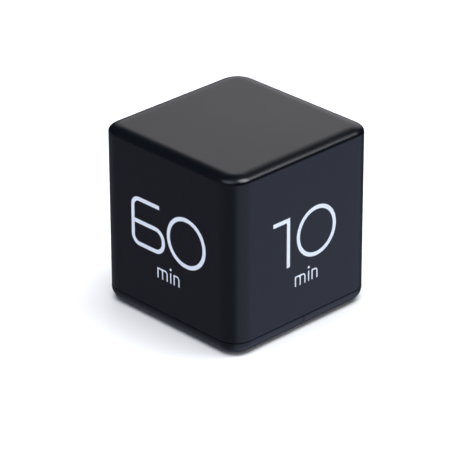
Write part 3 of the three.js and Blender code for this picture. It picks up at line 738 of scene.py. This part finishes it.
def lip_slab(name, half, corner, low, high):
    """A square plate or block with rounded corners, in the middle of the base."""
    return slab(name, (-half, -half, low), (half, half, high), corner, 8)


def side_block(name, side, near, far, low, high):
    """A block on the left for side -1, or on the right for side 1, between two (y, z) corners."""
    left, right = sorted((side * near, side * far))
    return block(name, (left, *low), (right, *high))


def mark(outlines, centre, depth, low=0.0):
    """A tool that sinks a symbol into the underside of the base, or of what lies at height `low`."""
    symbol = outlined("symbol", outlines, 2 * depth)
    return place(symbol, shift(centre[0], centre[1], low) @ turn(180, "X"))


TONGUE = (at(-20, -1.2, 1.2), at(20, 1, 1.99))  # the corners of the door's front tongue
TONGUE_GROOVE = (at(-20.4, -1.3, 1.1), at(20.4, 1, 2.1))
PLUS = [[Vector(p) * MM for p in (
    (-0.25, -0.9), (0.25, -0.9), (0.25, -0.25), (0.9, -0.25), (0.9, 0.25), (0.25, 0.25),
    (0.25, 0.9), (-0.25, 0.9), (-0.25, 0.25), (-0.9, 0.25), (-0.9, -0.25), (-0.25, -0.25),
)]]
MINUS = [bar(-0.9 * MM, -0.25 * MM, 0.9 * MM, 0.25 * MM)]

# ---------------------------------------------------------------- end cap

cells = [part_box(f"battery_cell_{number}") for number in (1, 2)]
CELL_RADIUS = (cells[0][1].y - cells[0][0].y) / 2
CELL_Y = [(low.y + high.y) / 2 for low, high in cells]
CELL_Z = (cells[0][0].z + cells[0][1].z) / 2
CELL_GAP = 0.3 * MM
TRAY_X = 25.0 * MM  # inside half length
TRAY_WALL = 1.2 * MM
TRAY_FRONT = CELL_Y[0] - CELL_RADIUS - CELL_GAP - TRAY_WALL
TRAY_BACK = CELL_Y[1] + CELL_RADIUS + CELL_GAP + TRAY_WALL
TRAY_TOP = CELL_Z + CELL_RADIUS + CELL_GAP + TRAY_WALL
PLATE_ROOM = 0.6 * MM  # thickness of the rooms that the contact plates stand in
SNAP_X = 14 * MM
POST = 2.2 * MM  # radius of the posts under the circuit board
POST_HOLE = 0.9 * MM
MARK_DEPTH = 0.12 * MM


long_screws = [middle_of(f"end_cap_screw_{number}") for number in (1, 2)]
board_screws = [middle_of(f"board_screw_{number}") for number in (1, 2, 3, 4)]
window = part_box("display_window")
WINDOW_MIDDLE = middle_of("display_window")
VIEW = (31 * MM, 10.4 * MM)  # length and width of the part of the display that shows
SWITCHES = {name: middle_of(f"{name}_switch_body") for name in ("power", "volume")}
CONTROLS_Y = SWITCHES["power"].y
LAMP = middle_of("alarm_lamp")
BUZZER = middle_of("buzzer")


def battery_tray(cap):
    """Adds the tray for the two cells, open towards the door."""
    half = TRAY_X + TRAY_WALL
    outside = block("tray", (-half, TRAY_FRONT, DECK_LOW), (half, TRAY_BACK, TRAY_TOP))
    combine(cap, round_edges(outside, level_at(TRAY_TOP), 2 * EASE))
    for y in CELL_Y:
        trough = rod("trough", CELL_RADIUS + CELL_GAP, (0, 0), -TRAY_X, TRAY_X, 64)
        cut(cap, place(trough, shift(0, y, CELL_Z) @ turn(90, "Y")))
    front, back = TRAY_FRONT + TRAY_WALL, TRAY_BACK - TRAY_WALL
    cut(cap, block("mouth", (-TRAY_X, front, SKIN), (TRAY_X, back, CELL_Z)))
    plate_top = CELL_Z + 4.6 * MM
    inner = TRAY_X - PLATE_ROOM
    cut(cap, gather(*[
        block("plate_room", (x, front, SKIN), (x + PLATE_ROOM, back, plate_top)) for x in (-TRAY_X, inner)
    ]))
    cut(cap, gather(*[
        block("tab_slot", (-TRAY_X, y - 1.8 * MM, CELL_Z), (-inner, y + 1.8 * MM, TRAY_TOP + SKIN))
        for y in CELL_Y
    ]))
    signs = [(-1, 0, MINUS), (1, 0, PLUS), (-1, 1, PLUS), (1, 1, MINUS)]
    cut(cap, gather(*[
        mark(sign, (side * (TRAY_X + 2.7 * MM), CELL_Y[i]), 0.3 * MM, DECK_LOW) for side, i, sign in signs
    ]))


def switch_opening(centre):
    """The recess that a grip slides in, and the slot through its floor."""
    recess = opening(centre, 6.8 * MM, 4.6 * MM, 1.1 * MM, 0.8 * MM)
    slot = block("slot", centre.to_2d().to_3d() - at(2.4, 1.3), centre.to_2d().to_3d() + at(2.4, 1.3, 3))
    return combine(recess, slot)


def snap(x):
    """One of the two hooks that catch in the shell's front wall."""
    low = (x - 4 * MM, -LIP_OUT - 0.7 * MM, LIP_TOP - 1.6 * MM)
    hook = block("snap", low, (x + 4 * MM, -LIP_IN - 0.2 * MM, LIP_TOP - 0.2 * MM))
    return round_edges(hook, lambda edge: all(v.co.y < -LIP_OUT for v in edge.verts), 0.3 * MM)


def add_lip(cap):
    """Adds the lip that stands in the shell, and the deck over the battery door."""
    lip = lip_slab("lip", LIP_OUT, 5.4 * MM, DECK_LOW, LIP_TOP)
    round_edges(lip, level_at(LIP_TOP), EASE)
    cut(lip, lip_slab("lip_room", LIP_IN, 4.0 * MM, SKIN - WALL, LIP_TOP + WALL))
    deck = lip_slab("deck", LIP_OUT - EASE, 5.2 * MM, DECK_LOW, DECK_TOP)
    combine(cap, combine(lip, trim(deck, (0, -WEB, 0), (0, -1, 0))))


def add_posts(cap):
    """Adds the seats for the shell's bosses, the circuit board's posts and the two snap hooks."""
    for screw in long_screws:
        seat = rod("seat", BOSS + 0.6 * MM, screw, DECK_LOW, SEAT_TOP)
        combine(cap, trim(seat, (0, LIP_OUT - EASE, 0), (0, 1, 0)))
    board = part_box("main_board")[0].z
    combine(cap, gather(*[rod("post", POST, screw, SKIN / 2, board) for screw in board_screws]))
    combine(cap, gather(snap(-SNAP_X), snap(SNAP_X)))
    cut(cap, gather(*[
        rod("post_hole", POST_HOLE, screw, board - 3.9 * MM, board + WALL, 20) for screw in board_screws
    ]))


def cut_screw_ways(cap):
    """Cuts a notch for each of the shell's bosses, and each long screw's way and the recess for its head."""
    for screw in long_screws:
        notch = BOSS + 0.5 * MM
        back = (screw.x + notch, HALF, LIP_TOP + WALL)
        cut(cap, block("notch", (screw.x - notch, screw.y - BOSS - 0.2 * MM, SEAT_TOP), back))
        cut(cap, rod("passage", SCREW_HOLE, screw, SKIN, SEAT_TOP + WALL))
        cut(cap, rod("head_recess", 2.3 * MM, screw, SKIN, DECK_LOW + 1.6 * MM))


def cut_door_ways(cap):
    """Cuts the grooves that the door's rails and its tongue slide in."""
    low, high = (-SPLIT_GAP / 2, RIM - 1.1 * MM), (HALF, RIM + 0.1 * MM)
    near = LIP_OUT - 1.0 * MM
    cut(cap, gather(*[side_block("groove", side, near, HALF, low, high) for side in (-1, 1)]))
    cut(cap, block("tongue_groove", *TONGUE_GROOVE))


def cut_display_opening(cap):
    """Cuts the recess that the window lies in, and the view through it."""
    length, width = window[1].x - window[0].x, window[1].y - window[0].y
    cut(cap, opening(WINDOW_MIDDLE, length + 0.2 * MM, width + 0.2 * MM, 1.6 * MM, 1.6 * MM))
    view = Vector((VIEW[0] / 2, VIEW[1] / 2, 0))
    low, high = WINDOW_MIDDLE - view, WINDOW_MIDDLE + view
    cut(cap, slab("view", (low.x, low.y, 0), (high.x, high.y, 2 * SKIN), 0.8 * MM, 6))


def switch_marks():
    """Sunk symbols beside the switches, for off and on, and for soft and loud."""
    power, volume = SWITCHES["power"].x, SWITCHES["volume"].x
    reach = 4.9 * MM
    symbols = [
        (ring(0, 0, 0.75 * MM, 0.3 * MM), power + reach),
        ([circle(0, 0, 0.75 * MM, 24)], power - reach),
        ([bar(-0.2 * MM, -0.5 * MM, 0.2 * MM, 0.5 * MM)], volume + reach),
        ([bar(-0.2 * MM, -1.2 * MM, 0.2 * MM, 1.2 * MM)], volume - reach),
    ]
    return [mark(outlines, (x, CONTROLS_Y), MARK_DEPTH) for outlines, x in symbols]


def cut_controls(cap):
    """Cuts the switches' openings and marks, the lamp's hole and the sound holes."""
    for centre in SWITCHES.values():
        cut(cap, switch_opening(centre))
    sound = [at(0, 0)] + [turn(60 * i) @ at(2.6, 0) for i in range(6)]
    holes = [drilling(BUZZER + spot, 0.6 * MM, 2 * SKIN) for spot in sound]
    cut(cap, gather(drilling(LAMP, 1.6 * MM, 2 * SKIN), *holes))
    cut(cap, *switch_marks())


def make_end_cap():
    """The end cap: the front half of the base, the lip that stands in the shell, and the battery tray."""
    cap = base_half("end_cap_moulding", -1)
    room = lip_slab("room", LIP_IN, 4.0 * MM, SKIN, RIM + SKIN)
    cut(cap, trim(room, (0, -WEB, 0), (0, 1, 0)))
    add_lip(cap)
    battery_tray(cap)
    add_posts(cap)
    cut_screw_ways(cap)
    cut_door_ways(cap)
    cut_display_opening(cap)
    cut_controls(cap)
    return smooth(wear(SHELL, cap))


fit(make_end_cap(), "case", "end_cap", slot="shell_black")

# ---------------------------------------------------------------- battery door

GRIP_RIDGES = 6
RIDGE_PITCH = 1.8 * MM


def make_door():
    """The battery door: half of the base, with two rails, a front tongue and a ribbed thumb patch."""
    door = base_half("door_moulding", 1)
    cut(door, lip_slab("room", LIP_OUT + 0.3 * MM, 5.7 * MM, SKIN, RIM + SKIN))
    low, high = (3 * MM, RIM - 0.9 * MM), (HALF - EDGE_RADIUS - 2 * MM, RIM - EASE / 10)
    for side in (-1, 1):
        combine(door, side_block("rail", side, LIP_OUT - 0.7 * MM, LIP_OUT + 0.7 * MM, low, high))
    tongue = block("tongue", *TONGUE)
    combine(door, round_edges(tongue, lambda edge: all(v.co.y < 0 for v in edge.verts), 0.2 * MM))
    first = HALF / 2 - 0.55 * MM
    for i in range(GRIP_RIDGES):
        half = 9 * MM - abs(i - (GRIP_RIDGES - 1) / 2) * MM
        cut(door, opening((0, first + RIDGE_PITCH * i), 2 * half, 0.9 * MM, 0.5 * MM, 0.4 * MM))
    arrow = [Vector(p) * MM for p in ((-1.6, 0.9), (1.6, 0.9), (0, -1.3))]
    cut(door, mark([arrow], (0, first - 3.6 * MM), 0.15 * MM))
    return smooth(wear(SHELL, door))


fit(make_door(), "battery_door", "battery_door", slot="shell_black")

# ---------------------------------------------------------------- display

FILM = 0.03 * MM  # thickness of what is printed on glass
SEGMENTS = {"0": "abcdef", "6": "acdefg"}


def segment(letter, left, low, width, height):
    """One bar of a seven-segment digit, with pointed ends."""
    half = 0.42 * MM
    gap = 0.1 * MM
    right, high, middle = left + width, low + height, low + height / 2
    ends = {
        "a": (left, high, right, high), "g": (left, middle, right, middle), "d": (left, low, right, low),
        "f": (left, middle, left, high), "b": (right, middle, right, high),
        "e": (left, low, left, middle), "c": (right, low, right, middle),
    }[letter]
    start, end = Vector(ends[:2]), Vector(ends[2:])
    along = (end - start).normalized()
    side = Vector((-along.y, along.x)) * half
    start, end = start + along * gap, end - along * gap
    near, far = start + along * half, end - along * half
    return [start, near + side, far + side, end, far - side, near - side]


def make_digits():
    """Sixty minutes in dark segments, read from below with the top of the digits towards -Y."""
    outlines = [circle(0, dy * MM, 0.45 * MM, 20) for dy in (-1.4, 1.4)]
    for digit, x in zip("6000", (-12.0, -5.6, 1.9, 8.3)):
        outlines += [segment(letter, x * MM, -3.4 * MM, 3.9 * MM, 6.8 * MM) for letter in SEGMENTS[digit]]
    digits = outlined("display_digits", outlines, FILM)
    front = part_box("lcd_front_glass")[0].z
    place(digits, shift(0, WINDOW_MIDDLE.y, front - FILM) @ turn(180, "X"))
    return wear(BLACK_INK, digits)


def make_window():
    """The clear window, with its lower rim eased, a little thinner to leave room for the printed frame."""
    low, high = window
    clear = slab("window_pane", low, high - Vector((0, 0, 2 * FILM)), 1.5 * MM, 8)
    round_edges(clear, level_at(low.z), EASE)
    return smooth(wear(FINISHES["window_clear"], clear))


def make_border():
    """The dark frame printed on the window's inner side."""
    x, y = (window[1].x - window[0].x) / 2 - EASE, (window[1].y - window[0].y) / 2 - EASE
    outside = rounded([(-x, -y, 1.3 * MM), (x, -y, 1.3 * MM), (x, y, 1.3 * MM), (-x, y, 1.3 * MM)])
    x, y = VIEW[0] / 2 - 0.4 * MM, VIEW[1] / 2 - 0.4 * MM
    inside = rounded([(-x, -y, 0.8 * MM), (x, -y, 0.8 * MM), (x, y, 0.8 * MM), (-x, y, 0.8 * MM)])
    border = outlined("window_border", [outside, inside], FILM)
    place(border, shift(0, WINDOW_MIDDLE.y, window[1].z - FILM))
    return wear(BLACK_INK, border)


fit(make_digits(), "case")
fit(make_window(), "case", "display_window", slot="window_clear")
fit(make_border(), "case")

# ---------------------------------------------------------------- switches and lamp


def make_grip(name):
    """A slide switch's grip: an eased pad with three grooves, on the stem that holds the lever."""
    low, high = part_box(f"{name}_switch_grip")
    middle = middle_of(f"{name}_switch_grip")
    pad = slab(f"{name}_grip", low, (high.x, high.y, low.z + 0.85 * MM), 0.6 * MM, 5)
    round_edges(pad, level_at(low.z), EASE)
    for dx in (-1.2, 0, 1.2):
        floor = low.z + 0.35 * MM
        start = (middle.x + (dx - 0.25) * MM, low.y - MM, low.z - MM)
        groove = block("groove", start, (middle.x + (dx + 0.25) * MM, high.y + MM, floor))
        cut(pad, round_edges(groove, level_at(floor), 0.12 * MM))
    half = at(1.25, 1.15)
    stem_low, stem_high = middle - half, middle + half
    stem_foot = (stem_low.x, stem_low.y, low.z + 0.6 * MM)
    combine(pad, block("stem", stem_foot, (stem_high.x, stem_high.y, high.z)))
    socket = at(0.85, 0.85)
    start, end = middle - socket, middle + socket
    cut(pad, block("socket", (start.x, start.y, 1.4 * MM), (end.x, end.y, high.z + MM)))
    return smooth(wear(FINISHES["grip_plastic"], pad))


def make_lamp():
    """The alarm lamp: a domed red lens with a flange at its root."""
    low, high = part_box("alarm_lamp")
    radius, flange = 1.5 * MM, (high.x - low.x) / 2
    angles = [math.pi / 2 * i / 10 for i in range(11)]
    dome = [(radius * math.sin(a), radius * (1 - math.cos(a))) for a in angles]
    tall = high.z - low.z
    lens = turned("lamp_lens", [*dome, (radius, tall - MM), (flange, tall - MM), (flange, tall), (0, tall)])
    return smooth(wear(FINISHES["lamp_red"], place(lens, shift(LAMP.x, LAMP.y, low.z))))


for name in SWITCHES:
    fit(make_grip(name), f"{name}_switch", f"{name}_switch_grip", slot="grip_plastic")
fit(make_lamp(), "case", "alarm_lamp", slot="lamp_red")

# ---------------------------------------------------------------- cells and contacts


def make_cell(number, side):
    """A cell lying along X, its positive end towards +X for side 1."""
    low, high = cells[number - 1]
    long, radius = high.x - low.x, CELL_RADIUS
    body = long - 1.0 * MM
    profile = [
        (0, 0.3 * MM), (radius - 1.7 * MM, 0.3 * MM), (radius - 1.5 * MM, 0.05 * MM),
        (radius - 0.9 * MM, 0.05 * MM), (radius - 0.85 * MM, 0), (radius - 0.4 * MM, 0),
        (radius - 0.1 * MM, 0.12 * MM), (radius, 0.4 * MM),
        (radius, body - 0.4 * MM), (radius - 0.1 * MM, body - 0.12 * MM), (radius - 0.4 * MM, body),
        (radius - 0.85 * MM, body), (radius - 0.9 * MM, body - 0.06 * MM), (2.7 * MM, body - 0.06 * MM),
        (2.5 * MM, body - 0.25 * MM), (1.9 * MM, body - 0.25 * MM), (1.9 * MM, long - 0.35 * MM),
        (1.8 * MM, long - 0.1 * MM), (1.55 * MM, long), (0, long),
    ]
    cell = turned(f"cell_{number}", profile)
    middle = middle_of(f"battery_cell_{number}")
    place(cell, Matrix.Translation(middle) @ turn(90 * side, "Y") @ shift(0, 0, -long / 2))
    return smooth(wear(cell_finish(f"cell_{number}_finish", number, side), cell))


def make_spring(name, side):
    """A cone spring that stands on its contact plate and presses on a cell's flat end."""
    low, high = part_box(name)
    middle = middle_of(name)
    thick = 0.25 * MM
    wide, narrow = (high.y - low.y) / 2 - thick, 2.2 * MM
    turns, steps = 3, 12
    rise = high.x - low.x - 2 * thick
    start = low.x + thick if side > 0 else high.x - thick
    points = []
    for i in range(turns * steps + 1):
        share = i / (turns * steps)
        angle = 2 * math.pi * turns * share
        radius = wide + (narrow - wide) * share
        y, z = middle.y + radius * math.cos(angle), middle.z + radius * math.sin(angle)
        points.append((start + side * rise * share, y, z))
    return smooth(wear(FINISHES["nickel"], wire(f"{name}_coil", points, thick)))


def along_x(edge):
    low, high = edge.verts
    return abs(low.co.y - high.co.y) + abs(low.co.z - high.co.z) < SAME_LINE


def make_plate(node, tab):
    """A contact plate with rounded corners, and with a solder tab if `tab` is set."""
    low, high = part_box(node)
    top = CELL_Z + 4.3 * MM
    plate = block(f"{node}_plate", low, (high.x, high.y, top))
    round_edges(plate, along_x, 0.8 * MM, 5)
    if tab:
        middle = (low.y + high.y) / 2
        strip = block("tab", (low.x, middle - 1.4 * MM, CELL_Z), (high.x, middle + 1.4 * MM, high.z))
        combine(plate, round_edges(strip, along_x, 0.4 * MM, 4))
    return smooth(wear(FINISHES["nickel"], plate))


for number, side in ((1, 1), (2, -1)):
    fit(make_cell(number, side), "case", f"battery_cell_{number}", slot="cell_jacket")
for name, side in (("negative_spring", 1), ("bridge_spring", -1)):
    fit(make_spring(name, side), "case", name, slot="nickel")
for name, tab in (("negative_contact", True), ("positive_contact", True), ("bridge_contact", False)):
    fit(make_plate(name, tab), "case", name, slot="nickel")

# ---------------------------------------------------------------- screws and balls

THREAD_PITCH = 0.7 * MM
THREAD_ROOT = 0.78  # of the shank's radius


def make_screw(node, head, shank, thick, upside_down):
    """A pan-head screw with a cross recess, its head down, or up if it is turned over."""
    low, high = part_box(node)
    long = high.z - low.z
    ease = 0.12 * MM
    profile = [(0, 0), (head - 3 * ease, 0), (head - ease, ease), (head, 3 * ease), (head, thick)]
    profile.append((shank, thick))
    root = shank * THREAD_ROOT
    threads = int((long - thick - 1.2 * MM) / THREAD_PITCH)
    for i in range(threads):
        z = thick + 0.3 * MM + THREAD_PITCH * i
        profile += [(root, z), (shank, z + 0.3 * MM), (root, z + 0.6 * MM)]
    profile += [(shank * 0.75, long - 0.8 * MM), (0.2 * MM, long), (0, long)]
    screw = turned(f"{node}_turned", profile, 40)
    arm = head * 0.6
    for degrees in (0, 90):
        tool = block("cross", (-arm, -0.3 * MM, -MM), (arm, 0.3 * MM, thick * 0.6))
        stretch(tool, lambda v: v.co.z > 0, (0.45, 1, 1), (0, 0, 0))
        cut(screw, place(tool, turn(degrees)))
    middle = middle_of(node)
    if upside_down:
        place(screw, shift(middle.x, middle.y, high.z) @ turn(180, "X"))
    else:
        place(screw, shift(middle.x, middle.y, low.z))
    return smooth(wear(FINISHES["steel"], screw))


for number in (1, 2):
    node = f"end_cap_screw_{number}"
    fit(make_screw(node, 2.1 * MM, 1.1 * MM, 1.5 * MM, False), "case", node, slot="steel")
for number in (1, 2, 3, 4):
    node = f"board_screw_{number}"
    fit(make_screw(node, 1.8 * MM, 0.8 * MM, 1.2 * MM, True), "case", node, slot="steel")


def make_ball(tag):
    """A tilt switch's polished steel ball."""
    node = f"tilt_switch_{tag}_ball"
    low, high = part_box(node)
    radius = (high.z - low.z) / 2
    bpy.ops.mesh.primitive_uv_sphere_add(segments=48, ring_count=24, radius=radius, location=middle_of(node))
    ball = new_piece(f"ball_{tag}")
    return fit(smooth(wear(FINISHES["steel"], ball)), f"tilt_ball_{tag}", node, slot="steel")


for tag in "abc":
    make_ball(tag)


# ---------------------------------------------------------------- studio

CAMERA_AZIMUTH = 45.80  # all angles are degrees
CAMERA_ELEVATION = 26.475
CAMERA_DISTANCE = 0.9952
CAMERA_LENS = 230.95  # millimetres
AIM_BELOW = 0.3605  # how far below the cube's middle the camera is aimed
AIM_LEFT = 0.125
CAMERA_ROLL = -0.135


def direction(azimuth, elevation):
    """From the cube towards a place at this azimuth, 0 being in front, and elevation."""
    a, e = math.radians(azimuth), math.radians(elevation)
    return Vector((math.sin(a) * math.cos(e), -math.cos(a) * math.cos(e), math.sin(e)))


def make_camera():
    camera = bpy.data.objects.new("camera", bpy.data.cameras.new("camera"))
    bpy.context.scene.collection.objects.link(camera)
    camera.data.lens = CAMERA_LENS
    back = direction(CAMERA_AZIMUTH, CAMERA_ELEVATION)
    look = (-back).to_track_quat("-Z", "Y").to_matrix().to_4x4()
    aim = turn(AIM_LEFT, "Y") @ turn(-AIM_BELOW, "X") @ turn(CAMERA_ROLL)
    middle = Vector((0, 0, TOP / 2))
    camera.matrix_world = Matrix.Translation(middle + back * CAMERA_DISTANCE) @ look @ aim
    bpy.context.scene.camera = camera


def make_floor():
    """White paper. It isn't seen in gloss, so that the black sides stay dark."""
    bpy.ops.mesh.primitive_plane_add(size=6)
    floor = new_piece("floor")
    made = Finish("floor_paper", Roughness=0.9, Specular_IOR_Level=0.1)
    made.feed(Base_Color=made.mix(made.noise(0.01), rgb(0.80, 0.80, 0.80), rgb(0.84, 0.84, 0.84)))
    wear(made.material, floor)
    floor.visible_glossy = False


def softbox(name, azimuth, elevation, distance, size, watts):
    """A square area light that looks at the cube and isn't seen in gloss."""
    light = bpy.data.objects.new(name, bpy.data.lights.new(name, "AREA"))
    bpy.context.scene.collection.objects.link(light)
    light.data.shape = "RECTANGLE"
    light.data.size = light.data.size_y = size
    light.data.energy = watts
    away = direction(azimuth, elevation)
    light.location = Vector((0, 0, TOP / 2)) + away * distance
    light.rotation_euler = away.to_track_quat("Z", "Y").to_euler()
    light.visible_glossy = False


# What the gloss shows: (azimuth, elevation, degrees of full light, degrees to none, colour)
PATCHES = {
    "backdrop": (219, 18, 6, 24, (0.90, 0.88, 0.92)),
    "key box": (148, 64, 4, 22, (7.0, 7.3, 7.7)),
    "fill box": (350, 66, 6, 30, (1.3, 1.4, 1.7)),
    "floor in front": (350, -35, 50, 95, (0.09, 0.09, 0.13)),
    "floor on the right": (110, -40, 25, 62, (0.42, 0.48, 0.68)),
}
ROOM = (0.004, 0.012, 0.025)
LOWER_ROOM = (0.07, 0.07, 0.08)


def make_world():
    """A dark room round a pale backdrop, with two soft boxes overhead."""
    world = bpy.data.worlds.new("studio")
    world.use_nodes = True
    bpy.context.scene.world = world
    start = Flow(world.node_tree)
    towards = start.node("TexCoord", output="Generated")

    def patch(amount, colour):
        return start.node("VectorMath", {"operation": "SCALE"}, {0: colour, "Scale": amount})

    height = start.node("SeparateXYZ", {}, {0: towards}, "Z")
    below = start.node("MapRange", {"interpolation_type": "SMOOTHSTEP"}, {0: height, 1: 0.2, 2: -0.3})
    light = start.node("VectorMath", {"operation": "ADD"}, {0: patch(below, LOWER_ROOM), 1: ROOM})
    for azimuth, elevation, full, none, colour in PATCHES.values():
        sockets = {0: towards, 1: direction(azimuth, elevation)}
        facing = start.node("VectorMath", {"operation": "DOT_PRODUCT"}, sockets, "Value")
        span = {0: facing, 1: math.cos(math.radians(none)), 2: math.cos(math.radians(full))}
        amount = start.node("MapRange", {"interpolation_type": "SMOOTHSTEP"}, span)
        light = start.node("VectorMath", {"operation": "ADD"}, {0: light, 1: patch(amount, colour)})
    world.node_tree.links.new(light.socket, world.node_tree.nodes["Background"].inputs["Color"])


make_camera()
make_floor()
make_world()
softbox("overhead", 0, 88, 1.2, 1.2, 19)
softbox("front", 20, 20, 1.2, 1.0, 0.9)
softbox("right", 80, 30, 1.2, 0.8, 3)
bpy.context.scene.view_settings.view_transform = "Standard"
